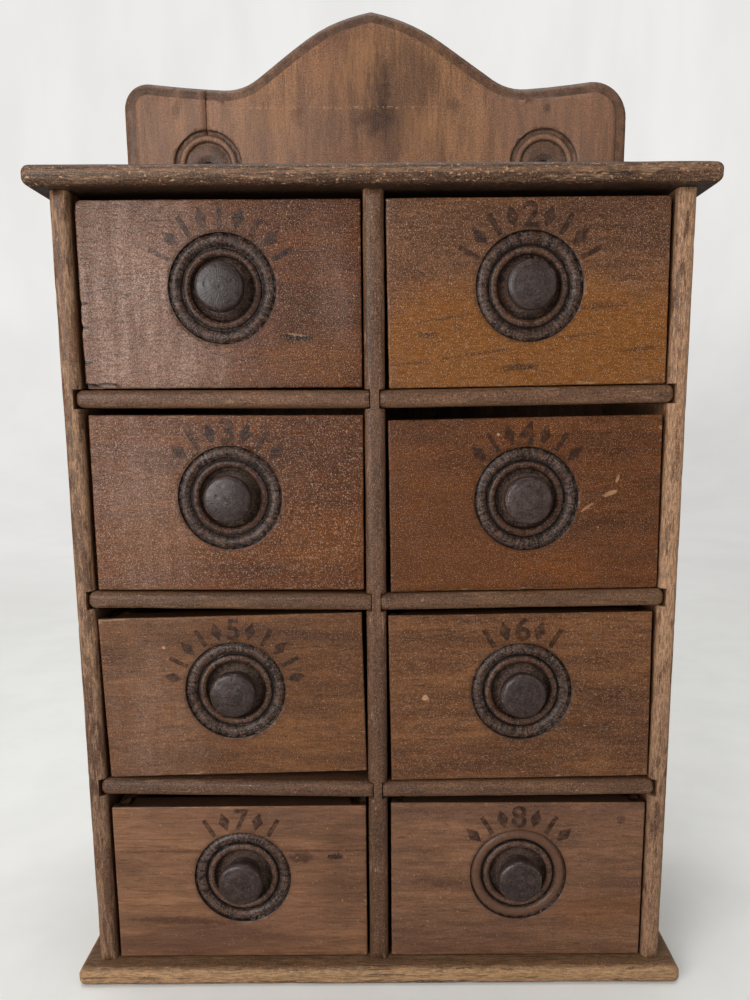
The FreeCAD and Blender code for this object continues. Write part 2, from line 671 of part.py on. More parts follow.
def rosette_corners():
    """Half section of the cut that turns the rosette and bores the hole for the knob's tenon."""
    def out(radius):
        return f"({KNOB_X} + {radius})"
    return [
        (KNOB_X, f"-{BEYOND}"),
        (out("rosette_rim"), f"-{BEYOND}"),
        (out("rosette_rim"), "0"),
        (out("rim_foot"), "rim_depth", ("crown", out("outer_bead"), "outer_bead_depth")),
        (out("quirk_outer"), "quirk_depth"),
        (out("quirk_inner"), "quirk_depth", ("crown", out("inner_bead"), "inner_bead_depth")),
        (out("dish_rim"), "quirk_depth", ("crown", out("dish_wall"), "dish_wall_depth")),
        (out("dish_floor"), "dish_depth"),
        (out("tenon_radius"), "dish_depth"),
        (out("tenon_radius"), f"(front_thick + {BEYOND})"),
        (KNOB_X, f"(front_thick + {BEYOND})"),
    ]


def knob_corners():
    """Half section of the knob, from its tenon's end to its domed face."""
    def out(radius):
        return f"({KNOB_X} + {radius})"
    shoulder = "-(knob_proud - knob_dome - knob_edge)"
    under = f"({shoulder} + knob_side)"
    tenon = out("(tenon_radius - tenon_room)")
    return [
        (KNOB_X, "(front_thick - tenon_short)"),
        (tenon, "(front_thick - tenon_short)"),
        (tenon, "dish_depth"),
        (out("neck_flare"), "dish_depth", ("crown", out("flare_radius"), "(dish_depth - flare_height)")),
        (out("neck_radius"), f"({under} + knob_under + neck_curve)"),
        (out("(knob_radius - knob_under)"), f"({under} + knob_under)",
         ("crown", out(f"(knob_radius - {ARC_NEAR} * knob_under)"),
          f"({under} + {ARC_FAR} * knob_under)")),
        (out("knob_radius"), under),
        (out("knob_radius"), shoulder,
         ("crown", out(f"(knob_radius - {ARC_NEAR} * (knob_radius - knob_face))"),
          f"({shoulder} - {ARC_FAR} * knob_edge)")),
        (out("knob_face"), "-(knob_proud - knob_dome)",
         ("crown", out("(knob_face / 2)"), "-(knob_proud - knob_dome / 4)")),
        (KNOB_X, "-knob_proud"),
    ]


def drawer_terms(number):
    """Expressions for one drawer: heights, tilt, and where its lower left front corner stands."""
    row, column = divmod(number - 1, 2)
    hand = "right" if column else "left"
    height = f"(opening_height - headroom_{number})"
    slope, rise = "0 deg", "0"
    if row < len(SHELF_ROWS):
        name = f"{SHELF_ROWS[row]}_{hand}_rise"
        slope = f"{'' if column else '-'}atan({name} / {SHELF_LENGTH})"
        rise = "0" if column else name
    tilt = f"({slope} + lean_{number} * 1 deg)"
    opening_left = "partition_thick / 2" if column else "-case_width / 2 + side_thick"
    return {
        "height": height,
        "side_height": f"({height} - max(0; fall_{number}) - box_side_drop)",
        "knob_z": f"({height} / 2 - fall_{number} / 4 + rosette_rise)",
        "tilt": tilt,
        "x": f"{opening_left} + room_{number} + max(0; {height} * sin({tilt}))",
        "y": f"{CASE_FRONT} + front_set_back",
        "z": f"base_thick + {len(SHELF_ROWS) - row} * {ROW_PITCH} + {rise} + drawer_rest",
    }


def place_in_case(thing, terms):
    """Stand a piece of a drawer where the drawer is, tipped as the drawer is."""
    thing.Placement.Rotation = FreeCAD.Rotation(Vector(0, -1, 0), 1)
    bind(thing, Placement__Base__x=terms["x"], Placement__Base__y=terms["y"],
         Placement__Base__z=terms["z"], Placement__Rotation__Angle=terms["tilt"])


def drawer_front(number, terms):
    body = new_body(f"drawer_{number}_front")
    face = body_sketch(body, "face", "XZ_Plane")
    draw_outline(face, [("0", "0"), (FRONT_WIDTH, "0"), (FRONT_WIDTH, f"({terms['height']} - fall_{number})"),
                        ("0", terms["height"])])
    board = pad(body, face, "front_thick", flip=True)
    thick = value("front_thick")
    round_edges(body, board, "front_round", lambda box: near(box.YMax, 0) or near(box.YLength, thick))
    rabbets = body_sketch(body, "rabbets", "XY_Plane")
    lap = "(front_thick - front_tongue)"
    draw_rectangle(rabbets, f"-{BEYOND}", BOX_WALL, lap, f"(front_thick + {BEYOND})")
    draw_rectangle(rabbets, f"({FRONT_WIDTH} - {BOX_WALL})", f"({FRONT_WIDTH} + {BEYOND})", lap,
                   f"(front_thick + {BEYOND})")
    pocket(body, rabbets, flip=True)
    groove = body_sketch(body, "groove", "YZ_Plane")
    draw_rectangle(groove, "(front_thick - box_groove)", f"(front_thick + {BEYOND})", "box_bottom_rise",
                   BOX_FLOOR)
    pocket(body, groove, flip=True)
    rosette = body_sketch(body, "rosette", "XY_Plane", terms["knob_z"])
    draw_axis(rosette, KNOB_X, f"-{BEYOND}", "front_thick")
    draw_outline(rosette, rosette_corners())
    turn(body, "Groove", rosette)
    if number == 1:
        chip = body_sketch(body, "chip", "XZ_Plane")
        draw_outline(chip, [(f"-{BEYOND}", f"-{BEYOND}"), ("chip_width", f"-{BEYOND}"), ("chip_width", "0"),
                            ("(chip_width / 2)", "chip_middle"), (f"-{BEYOND}", "chip_height")])
        pocket(body, chip, "chip_depth")
    place_in_case(body, terms)
    hand_in(body, body.Name)


def drawer_side_centres(terms):
    """Nails through a drawer side into the front and the back."""
    low, high = "nail_margin", f"({terms['side_height']} - nail_margin)"
    return [(y, z) for y in ("(front_thick - front_tongue / 2)", f"({DRAWER_LENGTH} - box_back_thick / 2)")
            for z in (low, high)]


def drawer_sides(number, terms):
    """Both drawer sides, the right one the mirror of the left."""
    body = new_body(f"drawer_{number}_left_side")
    face = body_sketch(body, "face", "YZ_Plane", "box_side_inset")
    draw_rectangle(face, "(front_thick - front_tongue)", DRAWER_LENGTH, "0", terms["side_height"])
    pad(body, face, "box_side_thick")
    groove = body_sketch(body, "groove", "XZ_Plane")
    draw_rectangle(groove, f"({BOX_WALL} - box_groove)", f"({BOX_WALL} + {BEYOND})", "box_bottom_rise",
                   BOX_FLOOR)
    pocket(body, groove)
    nail_pits(body, "pits", "YZ_Plane", "box_side_inset", drawer_side_centres(terms), flip=True)
    mirrored = doc.addObject("Part::Mirroring", f"drawer_{number}_right_side")
    mirrored.Source = body
    mirrored.Normal = Vector(1, 0, 0)
    bind(mirrored, Base__x=f"{FRONT_WIDTH} / 2")
    pair = doc.addObject("Part::Compound", f"drawer_{number}_sides")
    pair.Links = [body, mirrored]
    place_in_case(pair, terms)
    hand_in(pair, pair.Name)


def drawer_back(number, terms):
    body = new_body(f"drawer_{number}_back")
    face = body_sketch(body, "face", "XZ_Plane", f"-({DRAWER_LENGTH} - box_back_thick)")
    draw_rectangle(face, BOX_WALL, f"({FRONT_WIDTH} - {BOX_WALL})", BOX_FLOOR, terms["side_height"])
    pad(body, face, "box_back_thick", flip=True)
    place_in_case(body, terms)
    hand_in(body, body.Name)


def bottom_nail_centres():
    back_line = f"({DRAWER_LENGTH} - box_back_thick / 2)"
    return [(f"({FRONT_WIDTH} / 2 {sign} row_pitch / 2)", back_line) for sign in "-+"]


def drawer_bottom(number, terms):
    """Thin bottom in the grooves of the front and sides, nailed up to the back."""
    body = new_body(f"drawer_{number}_bottom")
    level = "(box_bottom_rise + groove_room / 2)"
    plan = body_sketch(body, "plan", "XY_Plane", level)
    edge = f"({BOX_WALL} - box_groove + groove_room)"
    draw_rectangle(plan, edge, f"({FRONT_WIDTH} - {edge})", "(front_thick - box_groove + groove_room)",
                   DRAWER_LENGTH)
    pad(body, plan, "box_bottom_thick")
    nail_pits(body, "pits", "XY_Plane", level, bottom_nail_centres(), flip=True)
    place_in_case(body, terms)
    hand_in(body, body.Name)


def drawer_knob(number, terms):
    body = new_body(f"drawer_{number}_knob")
    section = body_sketch(body, "section", "XY_Plane", terms["knob_z"])
    draw_axis(section, KNOB_X, "-knob_proud", "front_thick")
    draw_outline(section, knob_corners())
    turn(body, "Revolution", section)
    place_in_case(body, terms)
    return hand_in(body, body.Name)


def drawer_nails(number, terms, placement):
    places = []
    for y, z in drawer_side_centres(terms):
        left = Vector(value("box_side_inset"), value(y), value(z))
        right = Vector(value(f"{FRONT_WIDTH} - box_side_inset"), value(y), value(z))
        places += [(left, Vector(1, 0, 0)), (right, Vector(-1, 0, 0))]
    for x, y in bottom_nail_centres():
        surface = value("box_bottom_rise + groove_room / 2")
        places.append((Vector(value(x), value(y), surface), Vector(0, 0, 1)))
    nail_group(f"drawer_{number}_nails", places, placement)


def build_drawer(number):
    terms = drawer_terms(number)
    drawer_front(number, terms)
    drawer_sides(number, terms)
    drawer_back(number, terms)
    drawer_bottom(number, terms)
    knob = drawer_knob(number, terms)
    doc.recompute()
    drawer_nails(number, terms, knob.Placement)


def check_features():
    """Stop if a feature failed, cut nothing, or left a sub-part with no valid shape."""
    for item in doc.Objects:
        if "Invalid" in item.State or "Error" in item.State:
            raise RuntimeError(f"{item.Name} failed: {item.State}")
        if item.TypeId in ("PartDesign::Pocket", "PartDesign::Groove"):
            if item.Shape.Volume > item.BaseFeature.Shape.Volume - TOLERANCE:
                raise RuntimeError(f"{item.Name} cuts nothing")
    for part in subparts:
        if part.Shape.isNull() or not part.Shape.isValid():
            raise RuntimeError(f"{part.Label} has no valid shape")


def write_parts():
    os.makedirs("parts", exist_ok=True)
    for part in subparts:
        part.Shape.exportStep(f"parts/{part.Label}.step")
        box = part.Shape.BoundBox
        print(f"{part.Label}: {len(part.Shape.Solids)} solid(s), {part.Shape.Volume:.0f} mm3, "
              f"{box.XLength:.1f} x {box.YLength:.1f} x {box.ZLength:.1f}")


fill_sheet()
build_uprights()
build_shelves()
build_flat_boards()
build_back_board()
for drawer_number in range(1, DRAWER_COUNT + 1):
    build_drawer(drawer_number)
doc.recompute()
check_features()
write_parts()
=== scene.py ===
"""Hanging chest of eight small drawers: old shellacked wood, worn at its edges, on a pale floor.

Every board is a copy of its CAD node, cut into a fine grid, then dented and worn along its
arrises. The knobs are turned afresh. Lengths in this file are millimetres unless they say
otherwise; the scene itself is in metres.
"""
import json
import math

import bmesh
import bpy
from mathutils import Matrix, Vector, kdtree, noise
from mathutils.bvhtree import BVHTree

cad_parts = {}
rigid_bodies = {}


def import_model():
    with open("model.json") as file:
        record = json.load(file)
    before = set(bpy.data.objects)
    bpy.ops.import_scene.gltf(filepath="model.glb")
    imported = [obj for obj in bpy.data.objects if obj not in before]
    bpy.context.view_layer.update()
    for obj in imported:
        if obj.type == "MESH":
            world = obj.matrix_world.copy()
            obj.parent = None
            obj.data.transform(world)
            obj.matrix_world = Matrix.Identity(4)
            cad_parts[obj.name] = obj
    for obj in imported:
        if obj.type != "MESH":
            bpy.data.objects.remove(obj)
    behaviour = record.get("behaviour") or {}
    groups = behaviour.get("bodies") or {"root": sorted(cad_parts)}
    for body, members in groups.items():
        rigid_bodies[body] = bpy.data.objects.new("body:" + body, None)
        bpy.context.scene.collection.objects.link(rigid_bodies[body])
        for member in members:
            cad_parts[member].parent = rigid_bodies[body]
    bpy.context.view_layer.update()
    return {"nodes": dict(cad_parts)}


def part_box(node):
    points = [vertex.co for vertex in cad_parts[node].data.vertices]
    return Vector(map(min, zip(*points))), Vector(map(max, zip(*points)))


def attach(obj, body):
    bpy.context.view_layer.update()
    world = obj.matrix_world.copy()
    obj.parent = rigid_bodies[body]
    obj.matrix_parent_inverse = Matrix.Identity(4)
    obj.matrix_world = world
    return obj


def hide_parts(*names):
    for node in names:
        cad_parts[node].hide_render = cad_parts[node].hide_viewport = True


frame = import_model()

bl_info = {
    "name": "Spice Chest",
    "version": (1, 0, 0),
    "blender": (4, 5, 0),
    "location": "3D View > Sidebar > Spice Chest",
    "description": "Builds a worn wooden chest of eight small drawers round its CAD model",
    "category": "Add Mesh",
}

MM = 0.001
DRAWERS = range(1, 9)


def colour(red, green, blue):
    """Linear colour of a screen colour given in 0 to 255."""
    def straight(share):
        share /= 255
        return share / 12.92 if share <= 0.04045 else ((share + 0.055) / 1.055) ** 2.4
    return (straight(red), straight(green), straight(blue), 1.0)


# Sizes and colours that a user would change


def length(name, description, default, low=0.0):
    """A length in metres, given in millimetres."""
    return bpy.props.FloatProperty(name=name, description=description, default=default * MM,
                                   min=low * MM, unit="LENGTH", precision=5)


def share(name, description, default):
    """A share from 0 to 1."""
    return bpy.props.FloatProperty(name=name, description=description, default=default,
                                   min=0.0, max=1.0, subtype="FACTOR")


def tone(name, description, red, green, blue):
    """A screen colour, kept as a linear one."""
    return bpy.props.FloatVectorProperty(name=name, description=description, size=4, min=0.0, max=1.0,
                                         subtype="COLOR", default=colour(red, green, blue))


class ChestWear(bpy.types.PropertyGroup):
    """How worn the wood is."""
    board_grid: length("Board grid", "Spacing of the cuts across the boards of the case", 3.0, 0.5)
    front_grid: length("Front grid", "Spacing of the cuts across the drawer fronts", 2.2, 0.5)
    arris_reach: length("Arris reach", "How far wear spreads from an edge of a board", 2.4)
    arris_loss: length("Arris loss", "Deepest wear on the edges of the case", 0.55)
    front_loss: length("Front edge loss", "Deepest wear on the edges of a drawer front", 0.4)
    unevenness: length("Unevenness", "How far a planed face strays from flat", 0.09)
    knob_marks: length("Knob marks", "Height of the lathe rings on the knobs", 0.05)
    knob_segments: bpy.props.IntProperty(name="Knob segments", description="Faces round a knob",
                                         default=88, min=16)


class ChestColours(bpy.types.PropertyGroup):
    """The chest's finishes."""
    old_shellac: tone("Old shellac", "Brown of the case", 100, 68, 48)
    rubbed: tone("Rubbed wood", "Where the finish is rubbed thin", 140, 107, 80)
    bare: tone("Bare wood", "Where edges are chipped to clean wood", 184, 146, 108)
    # Grime colour; on the tops of the fronts, in the crest's hollows and round the hanging holes it also
    # paints shade.
    grime: tone("Grime", "Dirt in corners and old handling marks", 32, 21, 15)
    stain: tone("Black stain", "Knobs and turned rosettes", 62, 47, 43)
    box: tone("Box wood", "Unfinished wood inside the drawers", 160, 126, 90)
    rust: tone("Rust", "Nail heads", 52, 36, 28)
    ink: tone("Ink", "Faded stencil on the fronts", 34, 18, 12)


class ChestStage(bpy.types.PropertyGroup):
    """Floor, light and camera."""
    floor: tone("Floor", "Pale floor cloth", 245, 245, 241)
    backdrop: tone("Backdrop", "Pale cloth behind the chest", 236, 235, 233)
    lens: bpy.props.FloatProperty(name="Lens", description="Camera lens in millimetres", default=30.86,
                                  min=1.0, subtype="DISTANCE_CAMERA", unit="CAMERA")
    key_power: bpy.props.FloatProperty(name="Window", description="Broad soft light from the left",
                                       default=15.0, min=0.0, unit="POWER")
    fill_power: bpy.props.FloatProperty(name="Fill light", description="Weak light from the right",
                                        default=3.5, min=0.0, unit="POWER")
    top_power: bpy.props.FloatProperty(name="Top light", description="Broad light from above",
                                       default=12.0, min=0.0, unit="POWER")
    room: share("Room light", "Even light from all round", 0.4)


# Mesh making


def dissolve_flats(mesh):
    """Merge what the file format split, and join triangles that lie in one plane."""
    bmesh.ops.remove_doubles(mesh, verts=mesh.verts, dist=2e-6)
    bmesh.ops.dissolve_limit(mesh, angle_limit=math.radians(0.04), verts=mesh.verts, edges=mesh.edges)


def cut_grid(mesh, spacing, axes):
    """Cut the mesh with evenly spaced planes across each axis."""
    for axis in axes:
        places = [vert.co[axis] for vert in mesh.verts]
        low, high = min(places), max(places)
        count = max(1, round((high - low) / spacing))
        normal = Vector([float(index == axis) for index in range(3)])
        for step in range(1, count):
            point = normal * (low + (high - low) * step / count)
            bmesh.ops.bisect_plane(mesh, geom=mesh.verts[:] + mesh.edges[:] + mesh.faces[:],
                                   plane_co=point, plane_no=normal, dist=1e-6)


def arris_points(mesh, least_angle=7.0):
    """Points along the outward edges of a mesh, closely spaced."""
    points = []
    for edge in mesh.edges:
        if len(edge.link_faces) != 2 or edge.calc_face_angle_signed(0.0) < math.radians(least_angle):
            continue
        start, end = edge.verts[0].co, edge.verts[1].co
        steps = max(1, math.ceil((end - start).length / (1.0 * MM)))
        points += [start.lerp(end, step / steps) for step in range(steps + 1)]
    return points


def tree_of(points):
    """Sort points so that the nearest one is found fast."""
    tree = kdtree.KDTree(len(points))
    for index, point in enumerate(points):
        tree.insert(point, index)
    tree.balance()
    return tree


def lumps(point, size, seed):
    """Smooth noise between about -1 and 1, with features of the given size in millimetres."""
    return noise.noise(point / (size * MM) + Vector((seed * 7.3, seed * 3.1, -seed * 5.7)))


def wear_loss(point, nearness, loss, seed):
    """How far a point near an edge is worn back: an even softening, long hollows and a few dents."""
    hollow = max(0.0, lumps(point, 16, seed) + 0.1)
    dent = max(0.0, lumps(point, 3.4, seed + 5) - 0.38) * 2.2
    return loss * nearness ** 2 * (0.12 + 0.5 * hollow + 0.7 * dent)


def new_piece(name, mesh, material):
    """Make an object of a bmesh, with soft shading between sharp edges."""
    data = bpy.data.meshes.new(name)
    mesh.normal_update()
    mesh.to_mesh(data)
    mesh.free()
    for polygon in data.polygons:
        polygon.use_smooth = True
        polygon.material_index = 0
    data.set_sharp_from_angle(angle=math.radians(38))
    data.materials.append(material)
    piece = bpy.data.objects.new(name, data)
    bpy.context.scene.collection.objects.link(piece)
    return piece


def worn_copy(node, name, material, body, spacing, axes, loss, seed, carve=None, bend=None, calm=None):
    """Stand a dented and worn copy in for a CAD node.

    carve(point) gives a further loss at a point of the surface, in metres, and bend(point) a
    new place for it. calm is the middle, across and up, of a turned rosette that is hardly worn.
    """
    wear = bpy.context.scene.chest_wear
    coarse = 1
    mesh = bmesh.new()
    mesh.from_mesh(frame["nodes"][node].data)
    dissolve_flats(mesh)
    edges = tree_of(arris_points(mesh))
    cut_grid(mesh, spacing * coarse, axes)
    mesh.normal_update()
    layer = mesh.verts.layers.float.new("arris")
    low, high = (Vector(corner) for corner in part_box(node))
    for vert in mesh.verts:
        distance = edges.find(vert.co)[2]
        nearness = max(0.0, 1 - distance / wear.arris_reach)
        vert[layer] = nearness
        inward = wear_loss(vert.co, nearness, loss, seed)
        if calm and math.hypot(vert.co.x / MM - calm[0], vert.co.z / MM - calm[1]) < ROSETTE_RIM + 1:
            inward *= 0.12
        inward += wear.unevenness * (0.5 + 0.5 * lumps(vert.co, 38, seed + 2))
        if carve:
            inward += carve(vert.co)
        moved = vert.co - vert.normal * inward
        if bend:
            moved = bend(moved)
        vert.co = [min(max(place, least), most) for place, least, most in zip(moved, low, high)]
    piece = new_piece(name, mesh, material)
    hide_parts(node)
    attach(piece, body)
    return piece


# Materials


class Graph:
    """Short names for the shader nodes that the finishes are made of."""

    def __init__(self, name):
        self.material = bpy.data.materials.new(name)
        self.material.use_nodes = True
        self.tree = self.material.node_tree
        self.tree.nodes.clear()
        coords = self.add("ShaderNodeTexCoord")
        self.point = self.vector("MULTIPLY", coords.outputs["Object"], (1000, 1000, 1000))
        self.arris = self.add("ShaderNodeAttribute", attribute_name="arris").outputs["Fac"]

    def add(self, kind, **settings):
        node = self.tree.nodes.new(kind)
        for key, setting in settings.items():
            setattr(node, key, setting)
        return node

    def feed(self, socket, source):
        if isinstance(source, bpy.types.NodeSocket):
            self.tree.links.new(source, socket)
        else:
            socket.default_value = source

    def math(self, operation, first, second=0.0):
        node = self.add("ShaderNodeMath", operation=operation)
        self.feed(node.inputs[0], first)
        self.feed(node.inputs[1], second)
        return node.outputs[0]

    def plus(self, first, second):
        return self.math("ADD", first, second)

    def minus(self, first, second):
        return self.math("SUBTRACT", first, second)

    def times(self, first, second):
        return self.math("MULTIPLY", first, second)

    def vector(self, operation, first, second):
        node = self.add("ShaderNodeVectorMath", operation=operation)
        self.feed(node.inputs[0], first)
        self.feed(node.inputs[1], second)
        return node.outputs[1 if operation == "LENGTH" else 0]

    def span(self, source, low, high, to_low=0.0, to_high=1.0):
        """Map low..high of a value smoothly to to_low..to_high."""
        node = self.add("ShaderNodeMapRange", interpolation_type="SMOOTHSTEP")
        for index, number in enumerate((source, low, high, to_low, to_high)):
            self.feed(node.inputs[index], number)
        return node.outputs[0]

    def mix(self, amount, first, second):
        node = self.add("ShaderNodeMix", data_type="RGBA")
        self.feed(node.inputs[0], amount)
        self.feed(node.inputs[6], first)
        self.feed(node.inputs[7], second)
        return node.outputs[2]

    def vary(self, shade, field, amount, low=0.36, high=0.64):
        """Darken and lighten a colour as a field of noise goes from low to high."""
        node = self.add("ShaderNodeVectorMath", operation="SCALE")
        self.feed(node.inputs[0], shade if isinstance(shade, bpy.types.NodeSocket) else shade[:3])
        self.feed(node.inputs[3], self.span(field, low, high, 1 - amount, 1 + amount))
        return node.outputs[0]

    def noise(self, size, stretch=(1, 1, 1), seed=0.0, detail=3.0, rough=0.55, twist=0.0):
        """Noise with features of a size in millimetres, drawn out by stretch along each axis."""
        moved = self.vector("ADD", self.point, (seed * 131.0, seed * 57.0, -seed * 83.0))
        scaled = self.vector("MULTIPLY", moved, tuple(1 / (size * part) for part in stretch))
        node = self.add("ShaderNodeTexNoise")
        self.feed(node.inputs["Vector"], scaled)
        self.feed(node.inputs["Scale"], 1.0)
        self.feed(node.inputs["Detail"], detail)
        self.feed(node.inputs["Roughness"], rough)
        self.feed(node.inputs["Distortion"], twist)
        return node.outputs["Fac"]

    def apart(self, source=None):
        node = self.add("ShaderNodeSeparateXYZ")
        self.feed(node.inputs[0], source or self.point)
        return node.outputs

    def spot(self, centre, radii, angle=0.0, ragged=0.5, fade=0.5, seed=1.0):
        """1 inside an ellipse on the front of the chest, with a ragged and faded edge."""
        node = self.add("ShaderNodeMapping", vector_type="TEXTURE")
        self.feed(node.inputs["Vector"], self.point)
        self.feed(node.inputs["Location"], (centre[0], 0, centre[1]))
        self.feed(node.inputs["Rotation"], (0, math.radians(-angle), 0))
        self.feed(node.inputs["Scale"], (radii[0], 1e5, radii[1]))
        reach = self.vector("LENGTH", node.outputs[0], (0, 0, 0))
        if ragged:
            rough = self.noise(max(1.2, min(radii) * 0.9), seed=seed, detail=4)
            reach = self.plus(reach, self.times(self.minus(rough, 0.5), ragged * 2))
        return self.span(reach, 1 + fade / 2, 1 - fade / 2 - 0.01)

    def polar(self, centre):
        """Radius and angle round a turned piece's axis, in millimetres and radians."""
        across, _, up = self.apart(self.vector("SUBTRACT", self.point, (centre[0], 0, centre[1])))
        squared = self.plus(self.times(across, across), self.times(up, up))
        return self.math("SQRT", squared), self.math("ARCTAN2", up, across)

    def turned(self, centre, seed, turns, pitch):
        """Noise laid round an axis: many marks to a turn, and pitch millimetres from ring to ring."""
        radius, angle = self.polar(centre)
        place = self.add("ShaderNodeCombineXYZ")
        self.feed(place.inputs[0], self.times(angle, turns / 6.2832))
        self.feed(place.inputs[1], self.times(radius, 1 / pitch))
        place.inputs[2].default_value = seed * 3.7
        node = self.add("ShaderNodeTexNoise")
        self.feed(node.inputs["Vector"], place.outputs[0])
        node.inputs["Scale"].default_value = 1.0
        node.inputs["Detail"].default_value = 2.0
        return node.outputs["Fac"]

    def band(self, source, low, high, fade):
        """1 where a value lies between low and high."""
        rising = self.span(source, low - fade, low + fade)
        return self.times(rising, self.span(source, high + fade, high - fade))

    def finish(self, base, roughness, height=None, depth=0.15, strength=0.6, specular=0.42):
        """Join colour, roughness and bump into the surface; depth is the bump's height in mm."""
        shader = self.add("ShaderNodeBsdfPrincipled")
        output = self.add("ShaderNodeOutputMaterial")
        self.feed(shader.inputs["Base Color"], base)
        self.feed(shader.inputs["Roughness"], roughness)
        shader.inputs["Specular IOR Level"].default_value = specular
        if height is not None:
            bump = self.add("ShaderNodeBump")
            bump.inputs["Strength"].default_value = strength
            bump.inputs["Distance"].default_value = depth * MM
            self.feed(bump.inputs["Height"], height)
            self.feed(shader.inputs["Normal"], bump.outputs[0])
        self.tree.links.new(shader.outputs[0], output.inputs[0])
        return self.material


def along(grain, amount):
    """How far noise is drawn out along the grain, for each axis."""
    return tuple(amount if axis == grain else 1 for axis in "XYZ")


def scaled(base, factor):
    """A darker or lighter shade of a colour."""
    return (base[0] * factor, base[1] * factor, base[2] * factor, 1.0)


def warmer(base, factor):
    """A lighter shade, a little more golden."""
    return (base[0] * factor, base[1] * factor * 1.04, base[2] * factor * 0.92, 1.0)


def glinting(graph, shade, seed, amount):
    """Pale points where crazed shellac catches the light."""
    points = graph.noise(0.45, seed=seed + 61, detail=2, rough=0.65)
    return graph.mix(graph.span(points, 0.56, 0.65, 0.0, amount), shade, colour(*GLINT))


def wood_layers(graph, base, grain, seed, contrast=1.0, craze=1.0):
    """Mottled, streaked, pored and finely crazed wood, the height of its surface and its grit."""
    mottle = graph.noise(20, along(grain, 5), seed, 5, 0.6, 0.3)
    figure = graph.noise(5, along(grain, 7), seed + 1, 4, 0.6, 0.5)
    streak = graph.noise(1.3, along(grain, 18), seed + 2, 3, 0.6, 0.2)
    pore = graph.noise(0.62, along(grain, 8), seed + 3, 2, 0.5)
    bubble = graph.noise(0.95, seed=seed + 4, detail=2, rough=0.6)
    grit = graph.noise(0.42, along(grain, 1.5), seed + 5, 2, 0.7)
    shade = graph.mix(graph.span(mottle, 0.34, 0.68), scaled(base, 1 - 0.28 * contrast),
                      warmer(base, 1 + 0.22 * contrast))
    shade = graph.vary(shade, figure, 0.22 * contrast)
    shade = graph.mix(graph.span(streak, 0.5, 0.7, 0.0, 0.55 * contrast), shade, scaled(base, 0.42))
    shade = graph.mix(graph.span(pore, 0.58, 0.72, 0.0, 0.55), shade, scaled(base, 0.35))
    shade = graph.vary(shade, bubble, 0.16 * craze)
    shade = graph.vary(shade, grit, 0.2 * craze)
    height = graph.plus(graph.times(bubble, 0.6 * craze), graph.times(grit, 0.42 * craze))
    height = graph.minus(height, graph.span(pore, 0.56, 0.72, 0.0, 0.3))
    height = graph.minus(height, graph.times(streak, 0.35))
    return shade, height, grit


def rub(graph, zone, grain, seed, cover):
    """Where a zone is rubbed bare: patches drawn out along the grain, covering about that share."""
    patch = graph.noise(4.5, along(grain, 4), seed + 11, 5, 0.65)
    scratch = graph.noise(0.9, along(grain, 9), seed + 12, 3, 0.65)
    reach = graph.plus(graph.times(graph.minus(patch, 0.5), 2.4),
                       graph.times(graph.minus(scratch, 0.5), 1.6))
    reach = graph.plus(zone, reach)
    return graph.span(reach, 1.3 - cover * 0.6, 1.6 - cover * 0.6)


def case_wood(name, grain, seed, base, bare, cover=0.4, dirt=0.3, craze=1.0, extra=None):
    """Old shellac over wood, rubbed along the arrises: the boards of the case.

    cover is how much of the arrises is rubbed, dirt how much soil lies about, craze how finely the
    shellac has cracked, and extra(graph, shade) paints further marks.
    """
    colours = bpy.context.scene.chest_colours
    graph = Graph(name)
    shade, height, grit = wood_layers(graph, base, grain, seed, 0.8, craze)
    worn = rub(graph, graph.arris, grain, seed, cover)
    fine = graph.noise(0.55, along(grain, 6), seed + 13, 2, 0.6)
    fresh = graph.vary(bare, fine, 0.35)
    shade = graph.vary(graph.mix(graph.times(worn, 0.85), shade, fresh), grit, 0.2 * craze)
    speck = graph.noise(1.5, along(grain, 2.5), seed + 14, 3, 0.6)
    chips = graph.times(graph.span(speck, 0.68, 0.73), graph.span(graph.arris, 0.1, 0.8, 0.1, 0.8))
    shade = graph.mix(chips, shade, tuple(colours.bare))
    soil = graph.noise(5, along(grain, 3), seed + 17, 5, 0.72)
    shade = graph.mix(graph.span(soil, 0.68 - 0.22 * dirt, 0.82 - 0.16 * dirt, 0.0, 0.8), shade,
                      tuple(colours.grime))
    if extra:
        shade = extra(graph, shade)
    shade = glinting(graph, shade, seed, 0.3 * craze)
    roughness = graph.plus(graph.span(grit, 0.3, 0.7, 0.4, 0.52), graph.times(worn, 0.2))
    return graph.finish(shade, roughness, height, 0.2, 0.8, 0.32)


# Fronts: base colour, and how crazed the shellac is
FRONT_TONES = {
    1: ((80, 38, 4), 1.0), 2: ((96, 59, 35), 0.95), 3: ((87, 43, 3), 1.0), 4: ((86, 43, 4), 0.85),
    5: ((98, 60, 33), 0.5), 6: ((98, 60, 34), 0.6), 7: ((113, 77, 57), 0.2), 8: ((108, 74, 55), 0.3),
}
GOLDEN, UMBER, PALE, BLACK = (115, 66, 5), (50, 27, 17), (176, 132, 96), (20, 11, 8)
# The pale sheen colour paints the window's reflection on the fronts and the crest; the glint colour paints
# small highlights.
PAINTED_SHEEN, GLINT = (158, 128, 112), (188, 154, 132)
